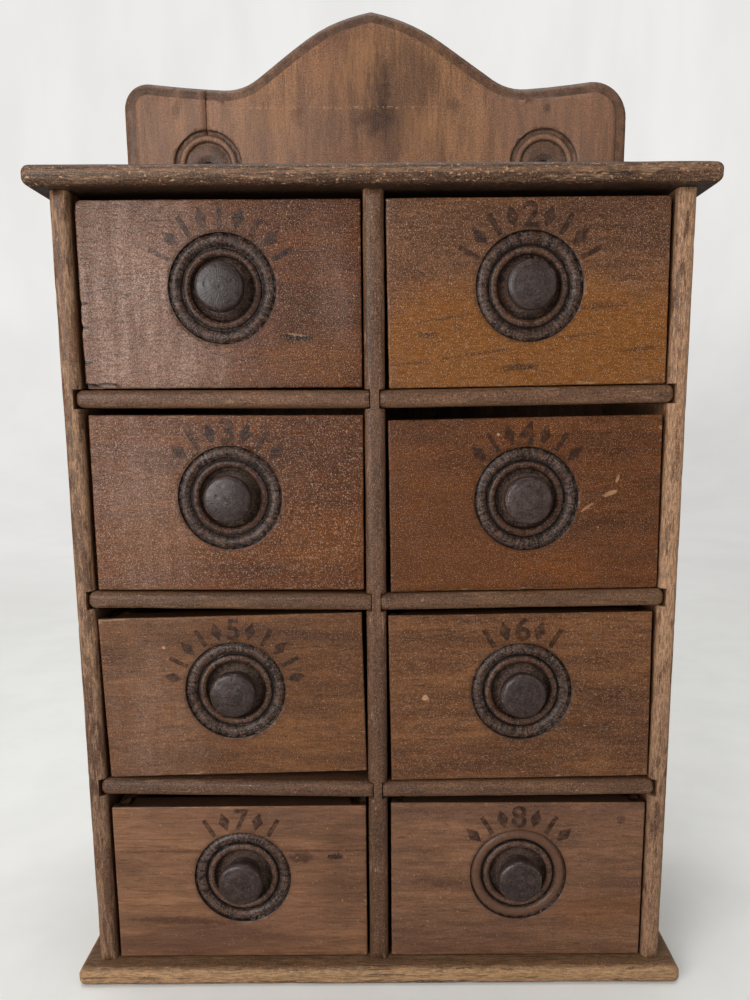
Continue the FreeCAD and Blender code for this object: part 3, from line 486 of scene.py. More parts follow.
# Marks on each front, painted sheen and painted shade among them: place across and up,
# half-width and half-height, tilt in degrees, raggedness, fade, colour, strength
FRONT_MARKS = {
    # Drawer 1: the pale sheen marks at its left are a painted reflection of the window.
    1: [(-97, 292, 28, 44, 0, 0.7, 1.5, PAINTED_SHEEN, 0.36), (-70, 272, 24, 14, 0, 0.9, 1.5, PAINTED_SHEEN, 0.14),
        (-17, 306, 7, 24, 10, 0.9, 1.3, PAINTED_SHEEN, 0.1), (-20, 274, 20, 9, 0, 1.0, 1.2, GOLDEN, 0.3),
        (-30.6, 282.7, 6.5, 1.2, -7, 0.7, 0.6, BLACK, 0.9),
        (-31, 283.6, 4, 0.4, -7, 0.5, 0.6, PALE, 0.4), (-116, 296.2, 2.0, 0.6, 3, 0.5, 0.5, BLACK, 0.9),
        (-116, 286.9, 2.4, 0.5, -4, 0.5, 0.5, BLACK, 0.9),
        (-116, 273.1, 2.2, 0.6, 2, 0.5, 0.5, BLACK, 0.9), (-111, 264.6, 8, 0.5, 0, 0.5, 0.5, BLACK, 0.8)],
    # Drawer 2: the umber band along its top is painted shade under the top board.
    2: [(62, 279, 82, 25, 1, 0.5, 0.7, GOLDEN, 0.85), (60, 326, 70, 16, 2, 0.8, 0.9, UMBER, 0.15),
        (21, 283, 4, 1.1, 0, 1.1, 0.8, BLACK, 0.55), (59, 270.5, 7, 1.3, 3, 1.2, 0.8, BLACK, 0.6),
        (91, 294, 10, 1.4, 5, 1.3, 0.9, BLACK, 0.4), (108, 277.5, 8, 0.8, 6, 0.9, 0.8, BLACK, 0.5),
        (30, 290, 9, 0.6, 8, 1.5, 0.9, BLACK, 0.4), (43, 276, 15, 0.6, 8, 1.5, 0.9, BLACK, 0.4),
        (14, 272, 8, 0.5, 4, 1.5, 0.9, BLACK, 0.35), (84, 283, 9, 0.6, 8, 1.5, 0.9, BLACK, 0.4)],
    # Drawer 3: painted sheen at its left, and an umber band along its top as painted shade under the rail.
    3: [(-96, 212, 24, 34, 0, 0.8, 1.5, PAINTED_SHEEN, 0.18), (-92, 200, 26, 10, 2, 0.9, 1.2, GOLDEN, 0.25),
        (-60, 234, 48, 6, 1, 0.9, 1.2, UMBER, 0.25), (-24, 196, 16, 10, 2, 0.9, 1.2, GOLDEN, 0.25)],
    4: [(32, 204, 34, 26, 0, 0.9, 1.3, (94, 49, 4), 0.5), (97, 219, 3.0, 0.9, 22, 0.9, 0.5, PALE, 0.6),
        (88, 213.5, 3.0, 0.6, 35, 0.9, 0.5, PALE, 0.5), (100, 225, 0.6, 1.8, -15, 0.6, 0.5, PALE, 0.5),
        (104, 196, 16, 16, 0, 0.9, 1.2, UMBER, 0.2), (50.5, 243.5, 0.6, 0.6, 0, 0.4, 0.4, PALE, 0.8)],
    # Drawer 5: painted sheen at its left, and an umber band along its top as painted shade under the rail.
    5: [(-96, 120, 22, 34, 0, 0.9, 1.5, PAINTED_SHEEN, 0.14), (-59, 114.5, 0.9, 0.7, 0, 0.5, 0.4, PALE, 0.9),
        (-91, 154, 0.7, 0.7, 0, 0.5, 0.4, PALE, 0.9), (-60, 158, 50, 6, 0, 0.9, 1.2, UMBER, 0.3)],
    6: [(20.8, 131, 1.5, 1.2, 0, 0.7, 0.5, PALE, 0.85), (90, 120, 30, 20, 0, 0.9, 1.2, UMBER, 0.25)],
    7: [(-19, 57.5, 3.4, 1.5, 0, 0.9, 0.6, BLACK, 0.85), (-34.5, 57, 5, 2.6, 0, 0.7, 0.9, UMBER, 0.7),
        (-90, 26.5, 24, 1.6, -2, 0.8, 0.9, UMBER, 0.55), (-60, 60.2, 60, 0.7, 0, 0.7, 0.8, UMBER, 0.5),
        (-12, 50, 16, 26, 0, 1.0, 1.4, UMBER, 0.3)],
    8: [(107.4, 74, 2.0, 2.0, 0, 0.3, 0.4, UMBER, 0.45), (44, 44, 26, 3, 0, 1.1, 1.0, UMBER, 0.4),
        (100, 30, 20, 8, 2, 0.9, 1.2, GOLDEN, 0.25)],
}
# Radius of a rosette's outer edge
ROSETTE_RIM = 21.5
# Zones of a rosette: inner and outer radius, and how much of the stain's colour is left there
ROSETTE_ZONES = ((21.1, 21.9, 0.12), (15.6, 16.5, 0.1), (12.3, 12.7, 0.3))
# Drawers whose outermost ring has lost its stain, and how much of each rosette is still stained
BARE_RINGS = (8,)
STAIN_COVER = {1: 0.9, 2: 0.8, 3: 0.95, 4: 0.97, 5: 0.97, 6: 0.92, 7: 0.97, 8: 0.75}


def rosette_centre(number):
    """Place of a knob's axis on the front, in millimetres across and up."""
    low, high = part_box(f"drawer_{number}_knob")
    middle = (low + high) / 2
    return middle.x / MM, middle.z / MM


def front_wood(name, number, ink=False):
    """Shellacked front with a black-stained rosette; ink adds the faded stencil colour."""
    colours = bpy.context.scene.chest_colours
    graph = Graph(name)
    seed = number * 1.7
    brown, craze = FRONT_TONES[number]
    base = colour(*brown)
    shade, height, grit = wood_layers(graph, base, "X", seed, 0.75, craze)
    sparkle = graph.times(graph.span(graph.noise(0.5, seed=seed + 8, rough=0.65), 0.42, 0.62, 0.4, 2.0),
                         graph.span(graph.noise(6, (1, 1, 9), seed + 9), 0.35, 0.65, 0.6, 1.35))
    # The pale sheen marks paint the window's reflection, broken into specks by the sparkle noise.
    for index, (*ellipse, angle, ragged, fade, tint, strength) in enumerate(FRONT_MARKS[number]):
        mask = graph.spot(ellipse[:2], ellipse[2:], angle, ragged, fade, seed + index)
        if tint is PAINTED_SHEEN:
            mask = graph.times(mask, sparkle)
        shade = graph.mix(graph.times(mask, strength), shade, colour(*tint))
    shade = graph.vary(shade, graph.noise(0.8, along("X", 6), seed + 6, 3, 0.65), 0.08 + 0.12 * craze)
    shade = glinting(graph, shade, seed, 0.5 * craze)
    worn = rub(graph, graph.arris, "X", seed, 0.3)
    shade = graph.mix(graph.times(worn, 0.5), shade, scaled(colours.bare, 0.7))
    # Pale specks: painted glints on the crazed shellac.
    speck = graph.noise(1.0, seed=seed + 21, detail=1)
    shade = graph.mix(graph.span(speck, 0.72, 0.75, 0.0, 0.3 + 0.5 * craze), shade, colour(*PALE))
    if ink:
        faded = graph.noise(2.4, seed=seed + 31, detail=5, rough=0.7)
        shade = graph.mix(graph.span(faded, 0.38, 0.66, 0.85, 0.35), shade, tuple(colours.ink))

    centre = rosette_centre(number)
    radius, _ = graph.polar(centre)
    chatter = graph.turned(centre, seed, 120, 5)
    lathe = graph.turned(centre, seed + 1, 3, 0.8)
    scuff = graph.noise(2.6, seed=seed + 41, detail=5, rough=0.72)
    patch = graph.noise(9, seed=seed + 43, detail=3)
    black = graph.mix(graph.span(scuff, 0.36, 0.66), scaled(colours.stain, 0.5), warmer(colours.stain, 1.3))
    black = graph.vary(black, chatter, 0.6, 0.4, 0.6)
    black = graph.vary(black, lathe, 0.25)
    bead = graph.times(graph.band(radius, 13.0, 15.2, 0.5), graph.span(scuff, 0.4, 0.6, 0.15, 0.6))
    black = graph.mix(bead, black, scaled(base, 0.8))
    black = graph.mix(graph.span(radius, 11.6, 9.0, 0.0, 0.6), black, warmer(colours.stain, 1.9))
    black = graph.vary(black, grit, 0.5)
    black = glinting(graph, black, seed + 3, 0.36)
    cover = 1 - STAIN_COVER[number]
    crown = graph.times(graph.arris, graph.span(radius, 10, 13))
    rubbed = rub(graph, crown, "Y", seed + 5, 0.35 + cover)
    black = graph.mix(graph.times(rubbed, 0.55), black, scaled(base, 0.75))
    show = graph.span(patch, 0.72 - 0.5 * cover, 0.84 - 0.5 * cover, 0.0, 0.85)
    if number in BARE_RINGS:
        show = graph.math("MAXIMUM", show, graph.span(radius, 16.2, 17.4, 0.0, 0.8))
    black = graph.mix(show, black, scaled(base, 0.8))
    for inner, outer, left in ROSETTE_ZONES:
        black = graph.mix(graph.band(radius, inner, outer, 0.25), black, scaled(colours.stain, left))
    inside = graph.span(radius, ROSETTE_RIM + 0.3, ROSETTE_RIM - 0.1)
    shade = graph.mix(inside, shade, black)
    smut = graph.span(graph.plus(radius, graph.times(scuff, 3.0)), 25.0, 22.8, 0.0, 0.45)
    shade = graph.mix(graph.times(smut, graph.minus(1.0, inside)), shade, scaled(base, 0.5))

    # Upward faces, such as the tops of the fronts, are darkened with the grime colour: painted shade under
    # the rails, with some dirt.
    facing = graph.apart(graph.add("ShaderNodeNewGeometry").outputs["Normal"])[2]
    shade = graph.mix(graph.span(facing, 0.7, 0.95, 0.0, 0.8), shade, tuple(colours.grime))
    rings = graph.plus(graph.times(chatter, 0.8), graph.times(lathe, 0.7))
    height = graph.plus(height, graph.times(rings, inside))
    sheen = graph.noise(7, seed=seed + 51, detail=4, rough=0.6)
    roughness = graph.plus(graph.span(sheen, 0.3, 0.7, 0.3, 0.42), graph.times(worn, 0.2))
    return graph.finish(shade, roughness, height, 0.26, 1.0, 0.32)


# Knobs lighter or darker than the rest, the rest's shade, and the wood that shows where it is rubbed, which
# also paints the rim's highlight
KNOB_SHADES, KNOB_SHADE, KNOB_RIM_WEAR_AND_HIGHLIGHT = {1: 0.78, 4: 1.15}, 0.95, (124, 96, 80)


def knob_wood(name, number):
    """Black-stained turned wood, greyed on the face, and rubbed and polished pale at the rim, which also
    paints the rim's highlight.
    """
    colours = bpy.context.scene.chest_colours
    graph = Graph(name)
    seed = number * 2.3
    base = scaled(colours.stain, KNOB_SHADES.get(number, KNOB_SHADE))
    centre = rosette_centre(number)
    rings = graph.turned(centre, seed, 1.6, 0.6)
    hairs = graph.turned(centre, seed + 1, 60, 4)
    scuff = graph.noise(3.2, seed=seed, detail=5, rough=0.65)
    fine = graph.noise(0.6, seed=seed + 2, detail=3, rough=0.65)
    shade = graph.mix(graph.span(scuff, 0.35, 0.68), scaled(base, 0.6), scaled(base, 1.1))
    shade = graph.mix(graph.span(rings, 0.5, 0.6, 0.0, 0.6), shade, scaled(base, 0.35))
    shade = graph.mix(graph.span(hairs, 0.62, 0.7, 0.0, 0.5), shade, scaled(base, 0.3))
    shade = graph.vary(shade, fine, 0.3)
    shade = glinting(graph, shade, seed + 7, 0.1)
    # The rim is rubbed to pale wood: partly wear, partly a painted highlight.
    rubbed = rub(graph, graph.arris, "Y", seed + 4, 0.5)
    shade = graph.mix(graph.times(rubbed, 0.6), shade, colour(*KNOB_RIM_WEAR_AND_HIGHLIGHT))
    roughness = graph.span(scuff, 0.3, 0.7, 0.3, 0.46)
    height = graph.plus(graph.plus(fine, graph.times(rings, 0.8)), hairs)
    return graph.finish(shade, roughness, height, 0.12, 0.7, 0.5)


def box_wood(name, grain, seed):
    """Dry unfinished softwood of the drawer boxes."""
    colours = bpy.context.scene.chest_colours
    graph = Graph(name)
    shade, height, _ = wood_layers(graph, scaled(colours.box, 0.85), grain, seed, 0.6, 0.5)
    worn = rub(graph, graph.arris, grain, seed, 0.4)
    shade = graph.mix(graph.times(worn, 0.5), shade, scaled(colours.box, 1.2))
    soil = graph.noise(12, along(grain, 2), seed + 17, 5, 0.7)
    shade = graph.mix(graph.span(soil, 0.56, 0.74, 0.0, 0.6), shade, scaled(colours.box, 0.3))
    return graph.finish(shade, 0.78, height, 0.14, 0.6, 0.25)


def nail_iron():
    """Dark rusted iron."""
    colours = bpy.context.scene.chest_colours
    graph = Graph("nail_iron")
    patch = graph.noise(0.9, detail=4, rough=0.7)
    shade = graph.mix(graph.span(patch, 0.4, 0.66), scaled(colours.rust, 0.5), scaled(colours.rust, 1.9))
    return graph.finish(shade, graph.span(patch, 0.3, 0.7, 0.5, 0.85), patch, 0.1, 0.6)


# Pieces


# Uprights: node, seed, shade, how far the arrises are rubbed, and dirt
UPRIGHTS = (("left_side", 1, 1.0, 1.0, 0.45), ("right_side", 2, 1.25, 1.3, 0.25),
            ("centre_partition", 3, 0.88, 0.35, 0.35))
# The uprights darken from the first height down to the second
FEET_FROM, FEET_TO = 190, 60


def darker_feet(graph, shade):
    """Darken the lower part of an upright board."""
    low = graph.span(graph.apart()[2], FEET_FROM, FEET_TO, 0.0, 0.35)
    return graph.mix(low, shade, colour(*UMBER))


class CHEST_OT_uprights(bpy.types.Operator):
    """Make the two sides and the centre partition"""
    bl_idname = "chest.uprights"
    bl_label = "Sides and partition"
    bl_options = {"REGISTER", "UNDO"}

    def execute(self, context):
        wear = context.scene.chest_wear
        colours = context.scene.chest_colours
        for node, seed, tint, cover, dirt in UPRIGHTS:
            base = scaled(colours.old_shellac, tint)
            bare = scaled(colours.rubbed, tint)
            material = case_wood(node + "_wood", "Z", seed, base, bare, cover, dirt, extra=darker_feet)
            worn_copy(node, node + "_board", material, "case", wear.board_grid, (1, 2),
                      wear.arris_loss, seed)
        return {"FINISHED"}


# Rows of shelves: name, seed and shade
SHELF_ROWS = (("upper", 11, 0.95), ("middle", 12, 0.8), ("lower", 13, 0.85))


class CHEST_OT_shelves(bpy.types.Operator):
    """Make the six shelves, whose front edges are the rails between the drawers"""
    bl_idname = "chest.shelves"
    bl_label = "Shelves"
    bl_options = {"REGISTER", "UNDO"}

    def execute(self, context):
        wear = context.scene.chest_wear
        colours = context.scene.chest_colours
        for row, seed, tint in SHELF_ROWS:
            base = scaled(colours.old_shellac, tint)
            material = case_wood(row + "_shelf_wood", "X", seed, base, scaled(colours.rubbed, 0.6), 0.4, 0.4)
            worn_copy(row + "_shelves", row + "_rails", material, "case", wear.board_grid,
                      (0, 1), wear.arris_loss * 0.8, seed)
        return {"FINISHED"}


def stripes(rows, seed, dust, dust_share):
    """Paint ragged bands along a flat board: rows of (low, high, colour, strength), in millimetres up.

    dust is the colour of the board's upper face, and dust_share the most and least of it. Dark
    cracks run along the grain, and the arrises are flecked with clean wood.
    """
    def paint(graph, shade):
        wander = graph.minus(graph.noise(2.5, along("X", 6), seed, 5, 0.7), 0.5)
        level = graph.plus(graph.apart()[2], graph.times(wander, 3.6))
        for low, high, tint, strength in rows:
            band = graph.times(graph.band(level, low, high, 0.5), strength)
            shade = graph.mix(band, shade, tint)
        facing = graph.apart(graph.add("ShaderNodeNewGeometry").outputs["Normal"])[2]
        patch = graph.noise(7, along("X", 4), seed + 3, 5, 0.7)
        covered = graph.times(graph.span(facing, 0.75, 0.97), graph.span(patch, 0.4, 0.6, *dust_share))
        shade = graph.mix(covered, shade, dust)
        fibre = graph.noise(0.5, along("X", 9), seed + 4, 3, 0.65)
        shade = graph.vary(shade, fibre, 0.3, 0.4, 0.6)
        crack = graph.noise(1.5, along("X", 16), seed + 5, 4, 0.65)
        shade = graph.mix(graph.span(crack, 0.6, 0.65, 0.0, 0.8), shade, scaled(dust, 0.3))
        fleck = graph.noise(0.9, along("X", 2), seed + 6, 2, 0.6)
        fleck = graph.times(graph.span(fleck, 0.63, 0.68), graph.span(graph.arris, 0.0, 0.7, 0.15, 0.9))
        return graph.mix(fleck, shade, colour(*PALE))
    return paint


# The base board's worn front edge, and the ledge in front of the drawers
BASE_EDGE, BASE_LEDGE = (152, 118, 80), (108, 81, 56)
TOP_SEED, BASE_SEED = 21, 22


class CHEST_OT_flat_boards(bpy.types.Operator):
    """Make the top board and the base board"""
    bl_idname = "chest.flat_boards"
    bl_label = "Top and base boards"
    bl_options = {"REGISTER", "UNDO"}

    def execute(self, context):
        wear = context.scene.chest_wear
        colours = context.scene.chest_colours
        grime, rubbed = tuple(colours.grime), tuple(colours.rubbed)
        brown = tuple(colours.old_shellac)
        bands = ((346.3, 349.0, grime, 0.85), (342.6, 344.6, rubbed, 0.4), (335.0, 339.4, grime, 0.6))
        top = case_wood("top_wood", "X", TOP_SEED, scaled(brown, 0.56), scaled(rubbed, 0.75), 0.6, 0.5,
                        extra=stripes(bands, 8, scaled(brown, 0.6), (0.8, 0.3)))
        worn_copy("top_board", "top_plank", top, "case", wear.board_grid, (0, 1),
                  wear.arris_loss, TOP_SEED)
        bands = ((-3.0, 1.2, grime, 0.5), (2.6, 7.9, colour(*BASE_EDGE), 0.7))
        base = case_wood("base_wood", "X", BASE_SEED, scaled(brown, 0.85), rubbed, 1.2, 0.4,
                         extra=stripes(bands, 9, colour(*BASE_LEDGE), (0.85, 0.4)))
        worn_copy("base_board", "base_plank", base, "case", wear.board_grid, (0, 1),
                  wear.arris_loss, BASE_SEED)
        return {"FINISHED"}


# How far behind its face the crest's front paint and crack reach
CREST_EDGE = 4
# The crest's fuller left flank: its middle across, how far it reaches, where it starts, where it
# is at its fullest, and how much higher it stands there
FLANK_MIDDLE, FLANK_REACH, FLANK_FOOT, FLANK_TOP, FLANK_SWELL = -34, 26, 392, 410, 2.4
# The drying crack, from the left ring up to the moulded border: its place across, its reach to each
# side, its lower and upper end, and the share left of its depth
CRACK_ACROSS, CRACK_REACH, CRACK_FOOT, CRACK_TOP, CRACK_SHARE = -85, 0.4, 392, 404, 0.3


def crest_shape(face):
    """Fill out the left flank of the crest, and make the drying crack shallower."""
    def bend(point):
        across, up = point.x / MM, point.z / MM
        near = math.exp(-((across - FLANK_MIDDLE) / FLANK_REACH) ** 2)
        risen = min(1.0, max(0.0, (up - FLANK_FOOT) / (FLANK_TOP - FLANK_FOOT)))
        lifted = point + Vector((0, 0, FLANK_SWELL * MM * near * risen))
        in_crack = abs(across - CRACK_ACROSS) < CRACK_REACH and CRACK_FOOT < up < CRACK_TOP
        if in_crack and point.y < face + CREST_EDGE * MM:
            lifted.y = face + (point.y - face) * CRACK_SHARE
        return lifted
    return bend


# Marks on the crest: place across and up, half-width and half-height, then the painted sheens'
# strength, the stains' tilt and strength, and the golden streaks' tilt
CREST_SHEENS = ((-78, 392, 46, 30, 0.2), (88, 392, 34, 30, 0.18))
CREST_STAINS = (
    (3, 411, 4.5, 16, 3, 0.7), (1, 398, 9, 6, 0, 0.6), (12, 406, 18, 25, 0, 0.5),
    (-100, 402.5, 1.5, 4, 0, 0.45), (-39.5, 400, 2.4, 4.4, 0, 0.4), (40, 404, 3, 3, 0, 0.35),
    (86, 402, 1.5, 2, 0, 0.6),
)
CREST_STREAKS = ((-9, 427, 15, 7, 20), (-3, 418, 6, 14, 0), (-15, 414, 8, 9, 0), (-50, 398, 9, 5, 0),
                 (22, 392, 10, 9, 0))
CREST_TONE, STREAK_TONE = (134, 92, 65), (154, 108, 68)
CREST_SEED = 31
# The broken line of pale dots across the crest: its middle, and its half-width and half-height
DOTS_MIDDLE, DOTS_REACH = (-22, 403), (58, 0.7)
# The turned rings: their place to each side and up, and darkening between an inner and outer radius; the
# innermost band, in and round the hanging hole, is painted shade
HANGER_REACH, HANGER_HEIGHT = 85, 375.8
RING_DARKENING = ((16.6, 17.3, 0.6), (11.0, 11.8, 0.5), (2.0, 5.5, 0.6))


def crest_paint(low, high, grime):
    """Painted sheens, stains, golden streaks and darkened rings on the front of the back board, with painted
    shade round the hanging holes and in the hollows.
    """
    middle, face, back = (low.x + high.x) / 2 / MM, low.y / MM, high.y / MM

    def paint(graph, plain):
        shade = plain
        # Painted sheen: pale patches of reflected light.
        for *ellipse, strength in CREST_SHEENS:
            crest_sheen = graph.spot(ellipse[:2], ellipse[2:], 0, 0.8, 1.5, 3)
            shade = graph.mix(graph.times(crest_sheen, strength), shade, colour(*PAINTED_SHEEN))
        for *ellipse, angle, strength in CREST_STAINS:
            stain = graph.spot(ellipse[:2], ellipse[2:], angle, 1.2, 1.3, 3 + ellipse[2])
            shade = graph.mix(graph.times(stain, strength), shade, colour(*UMBER))
        drips = graph.span(graph.noise(1.4, (1, 1, 7), 12, 4, 0.65), 0.4, 0.6, 0.1, 0.5)
        for *ellipse, angle in CREST_STREAKS:
            streak = graph.spot(ellipse[:2], ellipse[2:], angle, 0.9, 1.5, 5)
            shade = graph.mix(graph.times(streak, drips), shade, colour(*STREAK_TONE))
        dots = graph.spot(DOTS_MIDDLE, DOTS_REACH, 0, 0.2, 0.3, 9)
        broken = graph.span(graph.noise(1.6, seed=10, detail=2), 0.5, 0.6)
        shade = graph.mix(graph.times(dots, graph.times(broken, 0.55)), shade, colour(*PALE))
        # Darker bands in the turned rings; the innermost one, in and round the hanging hole, is painted
        # shade.
        for side in (-1, 1):
            radius, _ = graph.polar((middle + side * HANGER_REACH, HANGER_HEIGHT))
            for inner, outer, strength in RING_DARKENING:
                zone = graph.band(radius, inner, outer, 0.35)
                shade = graph.mix(graph.times(zone, strength), shade, grime)
        depth = graph.apart()[1]
        shade = graph.mix(graph.span(depth, face + CREST_EDGE + 0.2, face + CREST_EDGE - 0.2), plain, shade)
        # Faces recessed behind the front are darkened in patches: painted shade in the hollows.
        hollow = graph.band(depth, face + 0.55, back - 1.5, 0.25)
        hollow_shade = graph.span(graph.noise(6, seed=37, detail=5), 0.3, 0.7, 0.75, 0.4)
        return graph.mix(graph.times(hollow, hollow_shade), shade, scaled(grime, 2.2))
    return paint


class CHEST_OT_back_board(bpy.types.Operator):
    """Make the back board with its shaped crest and turned hanging rings"""
    bl_idname = "chest.back_board"
    bl_label = "Back board"
    bl_options = {"REGISTER", "UNDO"}

    def execute(self, context):
        wear = context.scene.chest_wear
        colours = context.scene.chest_colours
        low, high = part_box("back_board")
        base = colour(*CREST_TONE)
        material = case_wood("crest_wood", "Z", CREST_SEED, base, scaled(base, 0.72), 0.3, 0.05,
                             extra=crest_paint(low, high, tuple(colours.grime)))
        worn_copy("back_board", "back_plank", material, "case", wear.board_grid, (0, 2),
                  wear.arris_loss * 0.5, CREST_SEED, bend=crest_shape(low.y))
        return {"FINISHED"}


# Splits in the first front's left edge: height and half-height
NICKS = ((296.2, 0.8), (286.9, 1.0), (273.1, 0.9), (267.5, 0.6))
# Points left of the first are on that edge, and points ahead of the second are on the front's face
NICKED_EDGE, GOUGED_FACE = -115.0, -50
# The gouge's middle, its half-width and half-height, and the depth of the gouge and the splits
GOUGE_MIDDLE, GOUGE_REACH, NICK_DEPTH = (-30.6, 282.7), (6.0, 1.1), 0.5
# Corners rounded by handling: -1 left or 1 right, and the radius
ROUND_CORNERS = {1: (-1, 3.6), 2: (1, 4.0), 5: (1, 2.4), 8: (1, 2.2)}


def nicked_edge(point):
    """Small splits along the left edge of the first front, and the gouge by its rosette."""
    loss = 0.0
    for height, size in NICKS:
        away = abs(point.z / MM - height)
        if point.x / MM < NICKED_EDGE and away < size:
            loss += NICK_DEPTH * MM * (1 - away / size)
    across, up = point.x / MM - GOUGE_MIDDLE[0], point.z / MM - GOUGE_MIDDLE[1]
    reach = math.hypot(across / GOUGE_REACH[0], up / GOUGE_REACH[1])
    return loss + max(0.0, 1 - reach) * NICK_DEPTH * MM if point.y < GOUGED_FACE * MM else loss


def rounded_corner(node, side, radius):
    """Round one upper corner of a front; side is -1 for its left corner and 1 for its right."""
    low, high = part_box(node)
    centre = Vector(((high.x if side > 0 else low.x) - side * radius, 0, high.z - radius))

    def bend(point):
        across, up = point.x - centre.x, point.z - centre.z
        reach = math.hypot(across, up)
        if across * side <= 0 or up <= 0 or reach <= radius:
            return point
        return Vector((centre.x + across * radius / reach, point.y, centre.z + up * radius / reach))
    return bend


class CHEST_OT_fronts(bpy.types.Operator):
    """Make the eight drawer fronts with their turned rosettes"""
    bl_idname = "chest.fronts"
    bl_label = "Drawer fronts"
    bl_options = {"REGISTER", "UNDO"}

    def execute(self, context):
        wear = context.scene.chest_wear
        for number in DRAWERS:
            material = front_wood(f"front_{number}_wood", number)
            node = f"drawer_{number}_front"
            side, radius = ROUND_CORNERS.get(number, (0, 0))
            worn_copy(node, f"front_{number}", material, f"drawer_{number}",
                      wear.front_grid, (0, 2), wear.front_loss, 40 + number,
                      carve=nicked_edge if number == 1 else None,
                      bend=rounded_corner(node, side, radius * MM) if side else None,
                      calm=rosette_centre(number))
        return {"FINISHED"}


# Half section of a knob: radius, and distance behind the drawer's face; the knob's face comes first
KNOB_PROFILE = (
    (0.0, -8.0), (1.2, -7.98), (2.4, -7.95), (3.6, -7.88), (4.8, -7.78), (6.0, -7.66), (7.0, -7.54),
    (8.0, -7.38), (8.7, -7.15), (9.25, -6.75), (9.6, -6.2), (9.77, -5.5), (9.8, -4.7), (9.78, -3.9),
    (9.6, -3.2), (9.2, -2.7), (8.6, -2.35), (7.7, -1.95), (6.9, -1.55), (6.35, -0.9), (6.2, 0.2),
    (6.2, 1.4), (6.35, 2.6), (6.7, 3.6), (7.4, 4.5), (4.45, 4.52), (4.45, 9.7), (0.0, 9.7),
)
# Longest step along that profile, and the middle and reach of the rim that handling rubbed, where the pale
# rim also paints a highlight
PROFILE_STEP, KNOB_RIM, RIM_REACH = 0.45, (9.3, -6.7), 1.5


def finer(profile, most):
    """Add points between those of a profile so that none are further apart than most."""
    points = []
    for start, end in zip(profile, profile[1:]):
        steps = max(1, math.ceil(math.dist(start, end) / most))
        points += [tuple(a + (b - a) * step / steps for a, b in zip(start, end)) for step in range(steps)]
    return points + [profile[-1]]


def turned_knob(number, wear):
    """Mesh of one knob, ringed by the lathe and a little dented."""
    across, up = rosette_centre(number)
    axis = Vector((across * MM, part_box(f"drawer_{number}_front")[0].y, up * MM))
    low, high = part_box(f"drawer_{number}_knob")
    mesh = bmesh.new()
    layer = mesh.verts.layers.float.new("arris")
    rings = []
    for radius, back in finer(KNOB_PROFILE, PROFILE_STEP):
        if radius == 0:
            rings.append([mesh.verts.new(axis + Vector((0, back * MM, 0)))])
            continue
        ring = []
        for index in range(wear.knob_segments):
            angle = 2 * math.pi * index / wear.knob_segments
            out = Vector((math.cos(angle), 0, math.sin(angle)))
            place = axis + out * (radius * MM) + Vector((0, back * MM, 0))
            mark = wear.knob_marks * math.sin(radius * 7.1 + back * 9.3 + number)
            dent = max(0.0, lumps(place, 3.0, number) - 0.25) * 0.35 * MM
            shrink = max(0.0, mark) + dent
            place -= out * shrink * (0.3 if back < -7 else 1.0)
            place.y += shrink if back < -6 else 0.0
            vert = mesh.verts.new([min(max(p, a), b) for p, a, b in zip(place, low, high)])
            vert[layer] = max(0.0, 1 - math.dist((radius, back), KNOB_RIM) / RIM_REACH)
            ring.append(vert)
        rings.append(ring)
    for first, second in zip(rings, rings[1:]):
        for index in range(wear.knob_segments):
            after = (index + 1) % wear.knob_segments
            corners = [first[index % len(first)], second[index % len(second)],
                       second[after % len(second)], first[after % len(first)]]
            mesh.faces.new(list(dict.fromkeys(corners)))
    bmesh.ops.recalc_face_normals(mesh, faces=mesh.faces)
    return mesh


class CHEST_OT_knobs(bpy.types.Operator):
    """Turn the eight knobs"""
    bl_idname = "chest.knobs"
    bl_label = "Knobs"
    bl_options = {"REGISTER", "UNDO"}

    def execute(self, context):
        wear = context.scene.chest_wear
        for number in DRAWERS:
            mesh = turned_knob(number, wear)
            knob = new_piece(f"knob_{number}", mesh, knob_wood(f"knob_{number}_wood", number))
            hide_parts(f"drawer_{number}_knob")
            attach(knob, f"drawer_{number}")
        return {"FINISHED"}


# Parts of a drawer box: name, grain, seed and the axes that are cut across
BOX_PARTS = (("sides", "Y", 5, (1, 2)), ("back", "X", 4, (0, 2)), ("bottom", "X", 6, (0, 1)))


class CHEST_OT_boxes(bpy.types.Operator):
    """Make the sides, backs and bottoms of the drawer boxes"""
    bl_idname = "chest.boxes"
    bl_label = "Drawer boxes"
    bl_options = {"REGISTER", "UNDO"}

    def execute(self, context):
        wear = context.scene.chest_wear
        for part, grain, seed, axes in BOX_PARTS:
            material = box_wood(f"box_{part}_wood", grain, seed)
            for number in DRAWERS:
                worn_copy(f"drawer_{number}_{part}", f"box_{number}_{part}", material, f"drawer_{number}",
                          wear.board_grid * 2, axes, wear.front_loss * 0.5, 60 + number)
        return {"FINISHED"}


class CHEST_OT_nails(bpy.types.Operator):
    """Give every nail its rust"""
    bl_idname = "chest.nails"
    bl_label = "Nails"
    bl_options = {"REGISTER", "UNDO"}

    def execute(self, context):
        iron = nail_iron()
        for node, nail in frame["nodes"].items():
            if node.endswith("_nails"):
                for slot in nail.material_slots:
                    slot.material = iron
        return {"FINISHED"}


# Corners of the marks beside a number, as shares of half its height
LOZENGE = ((0, -1), (0.5, 0), (0, 1), (-0.5, 0))
BAR = ((-0.2, -1), (0.2, -1), (0.2, 1), (-0.2, 1))
# How many marks stand on each side of each number, and the turn from one to the next in degrees
STENCIL_SPREAD = {1: 4, 2: 4, 3: 3, 4: 3, 5: 5, 6: 2, 7: 2, 8: 3}
MARK_TURN = 15.5
